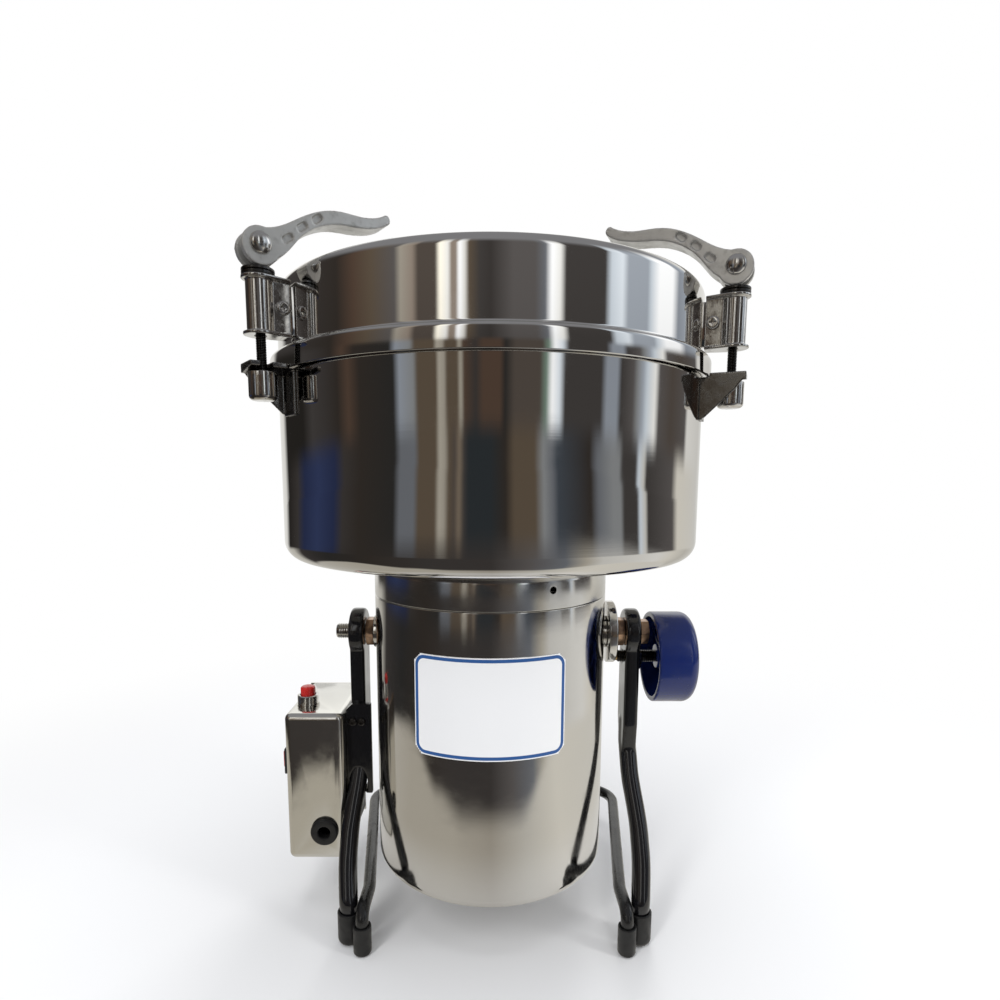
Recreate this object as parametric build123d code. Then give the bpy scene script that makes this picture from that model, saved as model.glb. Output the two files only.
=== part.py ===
from build123d import *
import math
import os

os.makedirs("parts", exist_ok=True)

# All sizes are millimetres. The bench is z = 0 and the bowl stands on the z axis; +Y is the back.

# Fits and clearances
SEAT = 0.1            # static clearance of a hole round its screw or stud
RUN = 0.06            # running clearance of a journal in its bore, on the radius
GAP = 0.3             # free gap between faces that slide past each other

# Bowl
BOWL_R = 128.8
BOWL_WALL = 1.6
BOWL_HEIGHT = 108.0
BOWL_CORNER = 11.0
RIM_LIP = 2.0
BOWL_GASKET_THICK = 5.0

# Lid
LID_SETBACK = 0.6     # lid wall inside the bowl's outer radius
LID_WALL = 1.5
LID_HEIGHT = 51.0     # from the skirt's lower edge to the flat top
LID_EDGE = 6.0
SKIRT_HEIGHT = 12.0
SKIRT_LAP = 4.5       # how far the skirt hangs below the bowl's rim
SKIRT_WALL = 1.6

# Motor housing
HOUSING_R = 75.4
HOUSING_WALL = 1.5
HOUSING_BOTTOM = 37.5
HOUSING_HEIGHT = 178.5
HOUSING_CORNER = 7.0
NECK_HEIGHT = 20.5
NECK_CORNER = 5.0
BASE_LIP = 18.4       # width of the lip round the vented base

# Name plate, bare
LABEL_WIDTH = 92.0
LABEL_HEIGHT = 60.0
LABEL_THICK = 0.5
LABEL_DROP = 27.5     # label centre below the swing axis

# Swing axis and stand
TRUNNION_DROP = 28.0  # swing axis below the housing's top
TRUNNION_R = 5.0
BOSS_OUT = 1.8        # how far the housing's trunnion bosses stand proud
LEFT_NUT = 5.0
RIGHT_NUT = 6.6
LEFT_PLAY = 0.7       # side play at the left upright
LEG_THICK = 9.6
LEG_WIDTH = 22.0
EYE_R = 15.5
LEG_BAR_R = 6.0
LEG_BEND_DROP = 76.0  # the uprights bend forward this far below the swing axis
FOOT_Y = -50.0
FLOOR_BAR_R = 4.0
FLOOR_BAR_FRONT = -61.0
FLOOR_BAR_BACK = 97.0
FLOOR_BAR_SPREAD = 20.0
BOOT_R = 8.6
BOOT_HEIGHT = 21.0
SOLE = 3.0            # rubber under a bar's end

# Tilt lock
BRAKE_R = 20.5
BRAKE_THICK = 5.2
LOCK_DROP = 17.0      # lock screw below the swing axis
LOCK_R = 4.0
KNOB_R = 30.0
KNOB_DEPTH = 26.0
KNOB_WALL = 3.4
KNOB_OFF = 8.4        # knob rim from the right upright

# Control box
BOX_WIDTH = 38.5
BOX_FRONT = -24.0
BOX_DEPTH = 65.0
BOX_BOTTOM = 38.0
BOX_HEIGHT = 100.0
BOX_WALL = 1.4
BOX_CORNER = 4.5
RESET_IN = 9.5        # reset button from the box's outer side
RESET_Y = 1.0
RESET_TRAVEL = 2.5
ROCKER_Y = -8.0
ROCKER_DOWN = 34.0    # rocker below the box's top
ROCKER_LENGTH = 15.6
ROCKER_WIDTH = 11.0
ROCKER_TILT = 12.0
GROMMET_IN = 24.5     # grommet from the box's outer side
GROMMET_Z = 58.0
GROMMET_R = 9.0
CORD_R = 4.0

# Lid clamps, three at equal turns about the bowl
CLAMP_COUNT = 3
CLAMP_FIRST = -23.1   # degrees from +X
CLAMP_OUT = 15.9      # draw rods from the lid's wall
ROD_R = 2.5
STRAP_DOWN = 8.0    # bracket's top below the lid's top
STRAP_TALL = 28.3
FLANGE_THICK = 1.7
BARREL_R = 6.4
FLANGE_R = 8.3
LUG_THICK = 3.0
EAR_THICK = 1.9
COLLAR_R = 8.0
COLLAR_HEIGHT = 3.6
HEAD_R = 9.2
CAM_THROW = 1.1
CAM_LEAD = 10.0       # degrees that the closed cam stands past its high point
LEVER_WIDTH = 13.0
LEVER_SLOT = 6.2
PIN_R = 2.5
PIN_DOME_R = 5.6
FORK_STEP = 1.6       # fork's top above the lid skirt's lower edge
FORK_THICK = 3.4
FORK_WIDTH = 16.5
FORK_SLOT = 6.2
FORK_SHEET = 1.6
FORK_TALL = 25.0
RAMP = 7.9            # degrees that the fork's underside climbs towards its mouth
NUT_R = 7.0
NUT_HEIGHT = 14.6
NUT_CROWN = 32.0      # radius of the nut's domed top

# Motor and blades
SHAFT_R = 6.0
SHAFT_END_R = 5.0
STATOR_RING = 11.0
STATOR_LIFT = 66.5    # stack above the housing's bottom
STATOR_SHORT = 112.5  # housing height less the stack
BLADE_FREE = 22.8     # bowl's outer radius less the lower blade's reach
UPPER_BLADE_FREE = 40.8
BLADE_WIDTH = 22.0
BLADE_THICK = 3.0
BLADE_GAP = 12.0

# Heights and radii that follow from the sizes above
HOUSING_TOP = HOUSING_BOTTOM + HOUSING_HEIGHT
HOUSING_BORE = HOUSING_R - HOUSING_WALL
NECK_TOP = HOUSING_TOP + NECK_HEIGHT
BOWL_BOTTOM = NECK_TOP + BOWL_GASKET_THICK
BOWL_FLOOR = BOWL_BOTTOM + BOWL_WALL
BOWL_RIM = BOWL_BOTTOM + BOWL_HEIGHT
LID_R = BOWL_R - LID_SETBACK
SKIRT_BORE = BOWL_R + RIM_LIP + GAP + 0.4
SKIRT_R = SKIRT_BORE + SKIRT_WALL
SKIRT_BOTTOM = BOWL_RIM - SKIRT_LAP
SKIRT_TOP = SKIRT_BOTTOM + SKIRT_HEIGHT
LID_TOP = SKIRT_BOTTOM + LID_HEIGHT
TRUNNION_Z = HOUSING_TOP - TRUNNION_DROP
BOSS_FACE = HOUSING_R + BOSS_OUT
LEG_HALF = LEG_THICK / 2
LEG_LEFT_X = -(BOSS_FACE + LEFT_NUT + LEFT_PLAY + LEG_HALF)
LEG_RIGHT_X = BOSS_FACE + BRAKE_THICK + RIGHT_NUT + GAP + LEG_HALF
LEG_BEND_Z = TRUNNION_Z - LEG_BEND_DROP
FLOOR_BAR_Z = BOOT_HEIGHT + FLOOR_BAR_R + 1.5
LABEL_MID = TRUNNION_Z - LABEL_DROP
KNOB_START = LEG_RIGHT_X + LEG_HALF + KNOB_OFF
BOX_TOP = BOX_BOTTOM + BOX_HEIGHT
BOX_RIGHT = LEG_LEFT_X - LEG_BAR_R - 1.3
BOX_LEFT = BOX_RIGHT - BOX_WIDTH
ROCKER_Z = BOX_TOP - ROCKER_DOWN
RESET_X = BOX_LEFT + RESET_IN
GROMMET_X = BOX_LEFT + GROMMET_IN
BOX_BACK = BOX_FRONT + BOX_DEPTH
LOCK_Z = TRUNNION_Z - LOCK_DROP
CLAMP_R = LID_R + CLAMP_OUT
STRAP_TOP = LID_TOP - STRAP_DOWN
STRAP_BOTTOM = STRAP_TOP - STRAP_TALL
PIN_Z = STRAP_TOP + COLLAR_HEIGHT + GAP + HEAD_R + CAM_THROW * math.cos(math.radians(CAM_LEAD))
RAMP_SLOPE = math.tan(math.radians(RAMP))
FORK_TOP = SKIRT_BOTTOM + FORK_STEP
FORK_UNDER = FORK_TOP - FORK_THICK
NUT_TOP = FORK_UNDER - GAP - NUT_CROWN * RAMP_SLOPE ** 2 / 2
NUT_BOTTOM = NUT_TOP - NUT_HEIGHT

nodes = {}


def cylinder(radius, low, high):
    """A round bar on the z axis."""
    return Pos(0, 0, (low + high) / 2) * Cylinder(radius, high - low)


def ring(outer, inner, low, high):
    return cylinder(outer, low, high) - cylinder(inner, low - 1, high + 1)


def block(x0, x1, y0, y1, z0, z1):
    middle = Pos((x0 + x1) / 2, (y0 + y1) / 2, (z0 + z1) / 2)
    return middle * Box(x1 - x0, y1 - y0, z1 - z0)


def rod_x(radius, x0, x1, y=0.0, z=0.0):
    """A round bar along X."""
    return Pos((x0 + x1) / 2, y, z) * Rot(0, 90, 0) * Cylinder(radius, x1 - x0)


def rod_y(radius, y0, y1, x=0.0, z=0.0):
    """A round bar along Y."""
    return Pos(x, (y0 + y1) / 2, z) * Rot(90, 0, 0) * Cylinder(radius, y1 - y0)


def hexagon_x(flats, x0, x1, y=0.0, z=0.0):
    """A hexagonal bar along X."""
    outline = Plane.YZ * RegularPolygon(flats / 2, 6, major_radius=False)
    return Pos(x0, y, z) * extrude(outline, x1 - x0)


def turned(shape, degrees):
    return Rot(0, 0, degrees) * shape


def group(solids):
    """Several separate solids as one sub-part."""
    return Compound([piece.solid() for piece in solids])


def bottom_edges(shape):
    return shape.edges().group_by(Axis.Z)[0]


def top_edges(shape):
    return shape.edges().group_by(Axis.Z)[-1]


def pan_head(radius, height):
    """A pan head with its seat at z = 0 and a cross recess."""
    head = fillet(top_edges(cylinder(radius, 0, height)), height * 0.6)
    slot = block(-radius * 0.55, radius * 0.55, -radius * 0.1, radius * 0.1, height * 0.45, height + 1)
    return head - slot - turned(slot, 90)


def screw(radius, length, head_radius, head_height):
    """A pan-head screw along z, its head's seat at z = 0."""
    return pan_head(head_radius, head_height) + cylinder(radius, -length, 0.01)


# Bowl: a spun cup with a rounded floor edge and a turned-out rim
BOWL_SCREW_R = 2.5
BOWL_SCREW_RING = HOUSING_R - 25.4
BOWL_SCREW_HEAD = 4.5
SEAL_NECK_R = 14.0


def around(count, radius, shape, start=0.0):
    """Copies of a shape that stands on the z axis, placed on a circle."""
    return [turned(Pos(radius, 0, 0) * shape, start + 360 / count * n) for n in range(count)]


def make_bowl():
    outer = fillet(bottom_edges(cylinder(BOWL_R, BOWL_BOTTOM, BOWL_RIM)), BOWL_CORNER)
    cavity = fillet(
        bottom_edges(cylinder(BOWL_R - BOWL_WALL, BOWL_FLOOR, BOWL_RIM + 1)), BOWL_CORNER - BOWL_WALL
    )
    lip = ring(BOWL_R + RIM_LIP, BOWL_R - 0.5, BOWL_RIM - 2.2, BOWL_RIM)
    lip = fillet(lip.edges().filter_by(GeomType.CIRCLE).sort_by(SortBy.RADIUS)[-2:], 0.9)
    bowl = outer - cavity + lip - cylinder(SEAL_NECK_R, BOWL_BOTTOM - 1, BOWL_FLOOR + 1)
    for hole in around(4, BOWL_SCREW_RING, cylinder(BOWL_SCREW_R + SEAT, BOWL_BOTTOM - 1, BOWL_FLOOR + 1), 45):
        bowl -= hole
    return bowl


nodes["bowl"] = make_bowl()

# Gasket between the bowl and the motor's neck
bowl_gasket = ring(HOUSING_R - 13.4, SEAL_NECK_R, NECK_TOP, BOWL_BOTTOM)
for hole in around(4, BOWL_SCREW_RING, cylinder(BOWL_SCREW_R + SEAT, NECK_TOP - 1, BOWL_BOTTOM + 1), 45):
    bowl_gasket -= hole
nodes["bowl_gasket"] = bowl_gasket

bowl_screw = Pos(0, 0, BOWL_FLOOR) * screw(BOWL_SCREW_R, 12.5, BOWL_SCREW_HEAD, 2.4)
nodes["bowl_screws"] = group(around(4, BOWL_SCREW_RING, bowl_screw, 45))

# Shaft seal: a flanged bush in the bowl's floor
SEAL_FLANGE = 2.6
SEAL_R = 20.0
shaft_seal = cylinder(SEAL_R, BOWL_FLOOR, BOWL_FLOOR + SEAL_FLANGE)
shaft_seal = chamfer(top_edges(shaft_seal), 1.2)
shaft_seal += cylinder(SEAL_NECK_R, NECK_TOP, BOWL_FLOOR + 0.1)
shaft_seal -= cylinder(SHAFT_R + GAP, NECK_TOP - 1, BOWL_FLOOR + SEAL_FLANGE + 1)
nodes["shaft_seal"] = shaft_seal


# Motor housing: a drawn can, open at the top, with a lip round its vented base and two trunnion bosses
BOSS_R = 11.0
BOSS_INNER = HOUSING_R - 7.4
BASE_LIP_R = HOUSING_R - BASE_LIP
BASE_SCREW_RING = HOUSING_R - 13.4


def make_housing():
    outer = fillet(bottom_edges(cylinder(HOUSING_R, HOUSING_BOTTOM, HOUSING_TOP)), HOUSING_CORNER)
    inner = cylinder(HOUSING_BORE, HOUSING_BOTTOM + HOUSING_WALL, HOUSING_TOP + 1)
    inner = fillet(bottom_edges(inner), HOUSING_CORNER - HOUSING_WALL)
    housing = outer - inner
    for side in (-1, 1):
        boss = rod_x(BOSS_R, BOSS_INNER, BOSS_FACE, 0, TRUNNION_Z)
        housing += boss if side > 0 else mirror(boss, Plane.YZ)
    housing -= rod_x(TRUNNION_R + SEAT, -BOSS_FACE - 1, BOSS_FACE + 1, 0, TRUNNION_Z)
    housing -= cylinder(BASE_LIP_R, HOUSING_BOTTOM - 1, HOUSING_BOTTOM + HOUSING_WALL + 1)
    for hole in around(4, BASE_SCREW_RING, cylinder(2.0 + SEAT, HOUSING_BOTTOM - 1, HOUSING_BOTTOM + 4), 45):
        housing -= hole
    return housing


nodes["motor_housing"] = make_housing()

# Base cover: a vented plate inside the lip
BASE_COVER_R = HOUSING_R - 9.4
BASE_COVER_THICK = 2.0
base_low = HOUSING_BOTTOM + HOUSING_WALL
base_cover = cylinder(BASE_COVER_R, base_low, base_low + BASE_COVER_THICK)
vent = Plane.XY.offset(base_low - 1) * SlotOverall(14, 4)
for ring_radius, count in ((18, 6), (30, 10), (42, 14)):
    vents = [
        turned(Pos(ring_radius, 0, 0) * Rot(0, 0, 90) * extrude(vent, BASE_COVER_THICK + 2), 360 / count * n)
        for n in range(count)
    ]
    base_cover -= vents
for hole in around(4, BASE_SCREW_RING, cylinder(2.0, base_low - 1, base_low + 4), 45):
    base_cover -= hole
nodes["base_cover"] = base_cover
base_screw = Pos(0, 0, HOUSING_BOTTOM) * Rot(180, 0, 0) * screw(2.0, 4.0, 3.8, 2.2)
nodes["base_screws"] = group(around(4, BASE_SCREW_RING, base_screw, 45))


# Neck casting: closes the housing, carries the upper bearing and the bowl
UPPER_BEARING_R = 16.0
UPPER_BEARING_Z = HOUSING_TOP - 1
UPPER_BEARING_H = 10.0
NECK_DECK = 7.5
NECK_BOSS_R = 24.0


def make_neck():
    neck = fillet(top_edges(cylinder(HOUSING_R, HOUSING_TOP, NECK_TOP)), NECK_CORNER)
    neck -= cylinder(HOUSING_R - 9, HOUSING_TOP - 1, NECK_TOP - NECK_DECK)
    neck += ring(HOUSING_BORE - SEAT, HOUSING_R - 9, HOUSING_TOP - 9, HOUSING_TOP + 0.5)
    neck += cylinder(NECK_BOSS_R, HOUSING_TOP - 4, NECK_TOP - 1)
    for n in range(6):
        neck += turned(block(NECK_BOSS_R - 2, HOUSING_R - 7, -2, 2, HOUSING_TOP, NECK_TOP - 3), 60 * n + 15)
    neck -= cylinder(UPPER_BEARING_R, HOUSING_TOP - 5, UPPER_BEARING_Z + UPPER_BEARING_H)
    neck -= cylinder(SHAFT_R + 2.5, HOUSING_TOP, NECK_TOP + 1)
    for hole in around(4, BOWL_SCREW_RING, cylinder(BOWL_SCREW_R, NECK_TOP - 12, NECK_TOP + 1), 45):
        neck -= hole
    drain = rod_x(2.2, HOUSING_R - 12, HOUSING_R + 1, 0, HOUSING_TOP + NECK_HEIGHT * 0.55)
    return neck - turned(drain, -62)


nodes["neck_casting"] = make_neck()

# Lower bearing bracket: a ring pressed in the housing with a cross bar
LOWER_BEARING_R = 13.0
LOWER_BEARING_Z = HOUSING_BOTTOM + 14.5
LOWER_BEARING_H = 8.0
BRIDGE_LOW = LOWER_BEARING_Z + 6.0
BRIDGE_HIGH = BRIDGE_LOW + 8.0
BRUSH_Z = BRIDGE_HIGH + 17.0
COMMUTATOR_R = 15.5
COMMUTATOR_H = 18.0

lower_bracket = ring(HOUSING_BORE, HOUSING_BORE - 8, BRIDGE_LOW, BRIDGE_HIGH)
lower_bracket += block(-HOUSING_BORE + 4, HOUSING_BORE - 4, -13, 13, BRIDGE_LOW, BRIDGE_HIGH)
lower_bracket += cylinder(18, LOWER_BEARING_Z - 2, BRIDGE_HIGH)
for side in (-1, 1):
    lower_bracket += block(side * 34 - 6, side * 34 + 6, -8, 8, BRIDGE_HIGH - 1, BRUSH_Z - 6)
lower_bracket -= cylinder(LOWER_BEARING_R, LOWER_BEARING_Z - 3, LOWER_BEARING_Z + LOWER_BEARING_H)
lower_bracket -= cylinder(SHAFT_END_R + 2.0, LOWER_BEARING_Z, BRIDGE_HIGH + 1)
nodes["lower_bracket"] = lower_bracket

# Ball bearings
upper_bearing = ring(UPPER_BEARING_R, SHAFT_R + RUN, UPPER_BEARING_Z, UPPER_BEARING_Z + UPPER_BEARING_H)
lower_bearing = ring(
    LOWER_BEARING_R, SHAFT_END_R + RUN, LOWER_BEARING_Z, LOWER_BEARING_Z + LOWER_BEARING_H
)
nodes["shaft_bearings"] = group([upper_bearing, lower_bearing])

# Stator: a laminated ring with two poles, and the field coils round the poles
STATOR_R = HOUSING_R - 15.4
STATOR_Z = HOUSING_BOTTOM + STATOR_LIFT
STATOR_TOP = STATOR_Z + HOUSING_HEIGHT - STATOR_SHORT
POLE_HALF = 15.0
COIL_GAP = 0.5
COIL_THICK = 8.0
RING_INNER = STATOR_R - STATOR_RING
SHOE_R = RING_INNER - 13.0
STATOR_BORE = SHOE_R - 5.6

stator = ring(STATOR_R, RING_INNER, STATOR_Z, STATOR_TOP)
for n in range(4):
    stator += turned(block(STATOR_R - 3, HOUSING_BORE + 2, -7, 7, STATOR_Z, STATOR_TOP), 45 + 90 * n)
stator &= cylinder(HOUSING_BORE, STATOR_Z - 1, STATOR_TOP + 1)
shoes = ring(SHOE_R, STATOR_BORE, STATOR_Z, STATOR_TOP) & block(
    -SHOE_R - 1, SHOE_R + 1, -POLE_HALF - 7, POLE_HALF + 7, STATOR_Z - 1, STATOR_TOP + 1
)
stator += shoes
for side in (-1, 1):
    pole = block(SHOE_R - 4, RING_INNER + 4, -POLE_HALF, POLE_HALF, STATOR_Z, STATOR_TOP)
    stator += pole if side > 0 else mirror(pole, Plane.YZ)
nodes["stator_core"] = stator

coil_x0 = SHOE_R + COIL_GAP
coil_x1 = math.sqrt(RING_INNER ** 2 - (POLE_HALF + COIL_THICK) ** 2) - COIL_GAP
coil = block(
    coil_x0, coil_x1, -POLE_HALF - COIL_THICK, POLE_HALF + COIL_THICK, STATOR_Z - 10, STATOR_TOP + 10
)
coil = fillet(coil.edges().filter_by(Axis.X), 5)
coil -= block(
    coil_x0 - 1, coil_x1 + 1, -POLE_HALF - COIL_GAP, POLE_HALF + COIL_GAP, STATOR_Z - COIL_GAP, STATOR_TOP + COIL_GAP
)
nodes["field_coils"] = group([coil, mirror(coil, Plane.YZ)])

# Brush holders stand on the lower bracket either side of the commutator
brush = block(COMMUTATOR_R + GAP, 44, -5, 5, BRUSH_Z - 6, BRUSH_Z + 6)
brush += block(28, 40, -8, 8, BRUSH_Z - 6, BRUSH_Z - 3)
nodes["brush_holders"] = group([brush, mirror(brush, Plane.YZ)])

# Rotor
SHAFT_LOW = LOWER_BEARING_Z - 4
BLADE_SEAT = BOWL_FLOOR + SEAL_FLANGE + 4.5
UPPER_BLADE_Z = BLADE_SEAT + BLADE_THICK + BLADE_GAP
STUD_TOP = UPPER_BLADE_Z + BLADE_THICK + 8
rotor_shaft = cylinder(SHAFT_R, LOWER_BEARING_Z + LOWER_BEARING_H + 1, UPPER_BLADE_Z)
rotor_shaft += cylinder(SHAFT_END_R, SHAFT_LOW, STUD_TOP)
rotor_shaft += cylinder(11.0, BLADE_SEAT - 3.8, BLADE_SEAT)
nodes["rotor_shaft"] = rotor_shaft

ARMATURE_R = STATOR_BORE - 0.9
armature = cylinder(ARMATURE_R, STATOR_Z + 2, STATOR_TOP - 2)
overhang = fillet(cylinder(ARMATURE_R - 6.5, STATOR_Z - 7, STATOR_TOP + 7).edges().filter_by(GeomType.CIRCLE), 4)
armature = armature + overhang - cylinder(SHAFT_R, STATOR_Z - 10, STATOR_TOP + 10)
nodes["armature"] = armature
nodes["commutator"] = ring(
    COMMUTATOR_R, SHAFT_R, BRUSH_Z - COMMUTATOR_H / 2, BRUSH_Z + COMMUTATOR_H / 2
)

FAN_LOW = STATOR_TOP + 14
FAN_R = HOUSING_R - 19.4
FAN_BLADES = 9
fan = cylinder(13, FAN_LOW, FAN_LOW + 12) + ring(FAN_R, 12, FAN_LOW, FAN_LOW + 1.8)
for n in range(FAN_BLADES):
    vane = Pos(FAN_R - 22, 0, FAN_LOW + 6) * Rot(0, 0, 28) * Box(40, 1.8, 12)
    fan += turned(vane, 360 / FAN_BLADES * n)
fan &= cylinder(FAN_R, FAN_LOW - 1, FAN_LOW + 13)
fan -= cylinder(SHAFT_R, FAN_LOW - 1, FAN_LOW + 13)
nodes["cooling_fan"] = fan


# Blades: flat bars with bevelled leading edges and tips bent up or down
def make_blade(reach, width, low, bore, bend):
    flat = reach * 0.66
    rise = math.tan(math.radians(bend)) * (reach - flat)
    outline = [
        (-reach, rise), (-flat, 0), (flat, 0), (reach, rise),
        (reach, rise + BLADE_THICK), (flat, BLADE_THICK), (-flat, BLADE_THICK), (-reach, rise + BLADE_THICK),
    ]
    blade = extrude(Plane.XZ * Polygon(*outline, align=None), width / 2, both=True)
    tip = width * 0.28
    plan = [
        (-reach, -width / 2 + tip), (-flat, -width / 2), (flat, -width / 2), (reach, -tip / 4),
        (reach, width / 2 - tip), (flat, width / 2), (-flat, width / 2), (-reach, tip / 4),
    ]
    blade &= Pos(0, 0, -40) * extrude(Polygon(*plan, align=None), 90)
    bevel = Pos(0, -width / 2, 0) * Rot(-32, 0, 0) * block(15, reach + 5, -9, 0, -30, 40)
    blade -= bevel
    blade -= turned(bevel, 180)
    return Pos(0, 0, low) * (blade - cylinder(bore, -1, BLADE_THICK + 1))


nodes["lower_blade"] = make_blade(BOWL_R - BLADE_FREE, BLADE_WIDTH, BLADE_SEAT, SHAFT_R, 0.0)
upper_blade = make_blade(BOWL_R - UPPER_BLADE_FREE, BLADE_WIDTH, UPPER_BLADE_Z, SHAFT_END_R, 16.0)
nodes["upper_blade"] = turned(upper_blade, 72)
nodes["blade_spacer"] = ring(11.0, SHAFT_R, BLADE_SEAT + BLADE_THICK, UPPER_BLADE_Z)
nut_low = UPPER_BLADE_Z + BLADE_THICK
blade_nut = Pos(0, 0, nut_low) * extrude(RegularPolygon(8.5, 6, major_radius=False), 9)
blade_nut += cylinder(10.5, nut_low, nut_low + 1.5)
blade_nut += Pos(0, 0, nut_low + 9) * (Sphere(7.6) - Pos(0, 0, -10) * Box(30, 30, 20))
blade_nut -= cylinder(SHAFT_END_R, nut_low - 1, STUD_TOP + 0.2)
nodes["blade_nut"] = blade_nut

# Bare name plate, bent to the housing
label = ring(HOUSING_R + LABEL_THICK, HOUSING_R, LABEL_MID - LABEL_HEIGHT / 2, LABEL_MID + LABEL_HEIGHT / 2)
label_chord = 2 * HOUSING_R * math.sin(LABEL_WIDTH / 2 / HOUSING_R)
label_outline = Plane.XZ * Pos(0, LABEL_MID) * RectangleRounded(label_chord, LABEL_HEIGHT, 7)
nodes["label_plate"] = label & extrude(label_outline, HOUSING_R + 5)

# Trunnions: headed studs from inside the housing, their nuts and the brake disc
left_inner = -(BOSS_FACE + LEFT_NUT)
right_nut_x = BOSS_FACE + BRAKE_THICK
right_out_x = LEG_RIGHT_X + LEG_HALF + GAP
stud_left = rod_x(TRUNNION_R, LEG_LEFT_X - LEG_HALF - 9.8, -BOSS_INNER, 0, TRUNNION_Z)
stud_left += rod_x(8.2, -BOSS_INNER, -BOSS_INNER + 4.5, 0, TRUNNION_Z)
stud_left = chamfer(stud_left.edges().filter_by(GeomType.CIRCLE).group_by(Axis.X)[0], 1.0)
stud_right = rod_x(TRUNNION_R, BOSS_INNER, right_out_x + 7.0, 0, TRUNNION_Z)
stud_right += rod_x(8.2, BOSS_INNER - 4.5, BOSS_INNER, 0, TRUNNION_Z)
nodes["trunnion_studs"] = group([stud_left, stud_right])

bore = rod_x(TRUNNION_R, -200, 200, 0, TRUNNION_Z)
nut_left = hexagon_x(17, left_inner, -BOSS_FACE, 0, TRUNNION_Z) - bore
nut_right = hexagon_x(17, right_nut_x, right_nut_x + RIGHT_NUT, 0, TRUNNION_Z) - bore
nut_outer = hexagon_x(15, right_out_x, right_out_x + 6.0, 0, TRUNNION_Z) - bore
nodes["trunnion_nuts"] = group([nut_left, nut_right, nut_outer])

brake_disc = rod_x(BRAKE_R, BOSS_FACE, right_nut_x, 0, TRUNNION_Z)
brake_disc = chamfer(brake_disc.edges().filter_by(GeomType.CIRCLE).group_by(Axis.X)[-1], 0.8)
nodes["brake_disc"] = brake_disc - bore


# Stand: an upright each side, flat at its eye and round below, and a bar round the back at floor level
def make_upright(x, lock):
    half = LEG_WIDTH / 2
    taper_low = LEG_BEND_Z - 8
    taper_high = LEG_BEND_Z + 14
    outline = Pos(0, TRUNNION_Z) * Circle(EYE_R)
    outline += Polygon(
        (-half, taper_high), (-LEG_BAR_R - 2, taper_low), (LEG_BAR_R - 2, taper_low), (half, taper_high),
        (half, TRUNNION_Z), (-half, TRUNNION_Z), align=None,
    )
    flat = Pos(x - LEG_HALF, 0, 0) * extrude(Plane.YZ * outline, LEG_THICK)
    flat = chamfer(flat.faces().sort_by(Axis.X)[0].edges() + flat.faces().sort_by(Axis.X)[-1].edges(), 1.0)
    route = FilletPolyline(
        (x, 0, LEG_BEND_Z + 16), (x, 0, LEG_BEND_Z), (x, FOOT_Y, 26), (x, FOOT_Y, SOLE), radius=11
    )
    bar = sweep(Plane(route @ 0, z_dir=route % 0) * Circle(LEG_BAR_R), path=route)
    upright = flat + bar
    if lock:
        boss = rod_x(9, x + LEG_HALF - 1, x + LEG_HALF + 2.4, 0, LOCK_Z)
        upright += boss & block(x, x + 20, -20, 20, LOCK_Z - 30, LOCK_Z + 4)
        upright -= rod_x(LOCK_R + RUN, x - 20, x + 20, 0, LOCK_Z)
    return upright - rod_x(TRUNNION_R + RUN, x - 20, x + 20, 0, TRUNNION_Z)


nodes["upright_left"] = make_upright(LEG_LEFT_X, False)
nodes["upright_right"] = make_upright(LEG_RIGHT_X, True)

weld = 0.2
bar_left = LEG_LEFT_X + LEG_BAR_R + FLOOR_BAR_R - weld
bar_right = LEG_RIGHT_X - LEG_BAR_R - FLOOR_BAR_R + weld
back_left = bar_left - FLOOR_BAR_SPREAD
back_right = bar_right + FLOOR_BAR_SPREAD
bar_route = FilletPolyline(
    (bar_left, FLOOR_BAR_FRONT, SOLE),
    (bar_left, FLOOR_BAR_FRONT, FLOOR_BAR_Z),
    (bar_left, FOOT_Y + 14, FLOOR_BAR_Z),
    (back_left, FLOOR_BAR_BACK, FLOOR_BAR_Z),
    (back_right, FLOOR_BAR_BACK, FLOOR_BAR_Z),
    (bar_right, FOOT_Y + 14, FLOOR_BAR_Z),
    (bar_right, FLOOR_BAR_FRONT, FLOOR_BAR_Z),
    (bar_right, FLOOR_BAR_FRONT, SOLE),
    radius=[7, 40, 20, 20, 40, 7],
)
nodes["floor_bar"] = sweep(Plane(bar_route @ 0, z_dir=bar_route % 0) * Circle(FLOOR_BAR_R), path=bar_route)

# Rubber feet: boots on the uprights, caps on the bar's ends, buffers under its back corners
boot = fillet(bottom_edges(cylinder(BOOT_R, 0, BOOT_HEIGHT)), 2)
boot = chamfer(top_edges(boot), 1.0) - cylinder(LEG_BAR_R, SOLE, BOOT_HEIGHT + 1)
cap_r = FLOOR_BAR_R + 1.6
cap = fillet(bottom_edges(cylinder(cap_r, 0, FLOOR_BAR_Z - 8)), 1.5)
cap -= cylinder(FLOOR_BAR_R, SOLE, FLOOR_BAR_Z)
buffer = fillet(bottom_edges(cylinder(8, 0, FLOOR_BAR_Z - 1)), 2)
buffer_x = 36.0
feet = [
    Pos(LEG_LEFT_X, FOOT_Y, 0) * boot,
    Pos(LEG_RIGHT_X, FOOT_Y, 0) * boot,
    Pos(bar_left, FLOOR_BAR_FRONT, 0) * cap,
    Pos(bar_right, FLOOR_BAR_FRONT, 0) * cap,
    Pos(back_left + buffer_x, FLOOR_BAR_BACK, 0) * buffer - nodes["floor_bar"],
    Pos(back_right - buffer_x, FLOOR_BAR_BACK, 0) * buffer - nodes["floor_bar"],
]
nodes["rubber_feet"] = group(feet)

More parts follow.
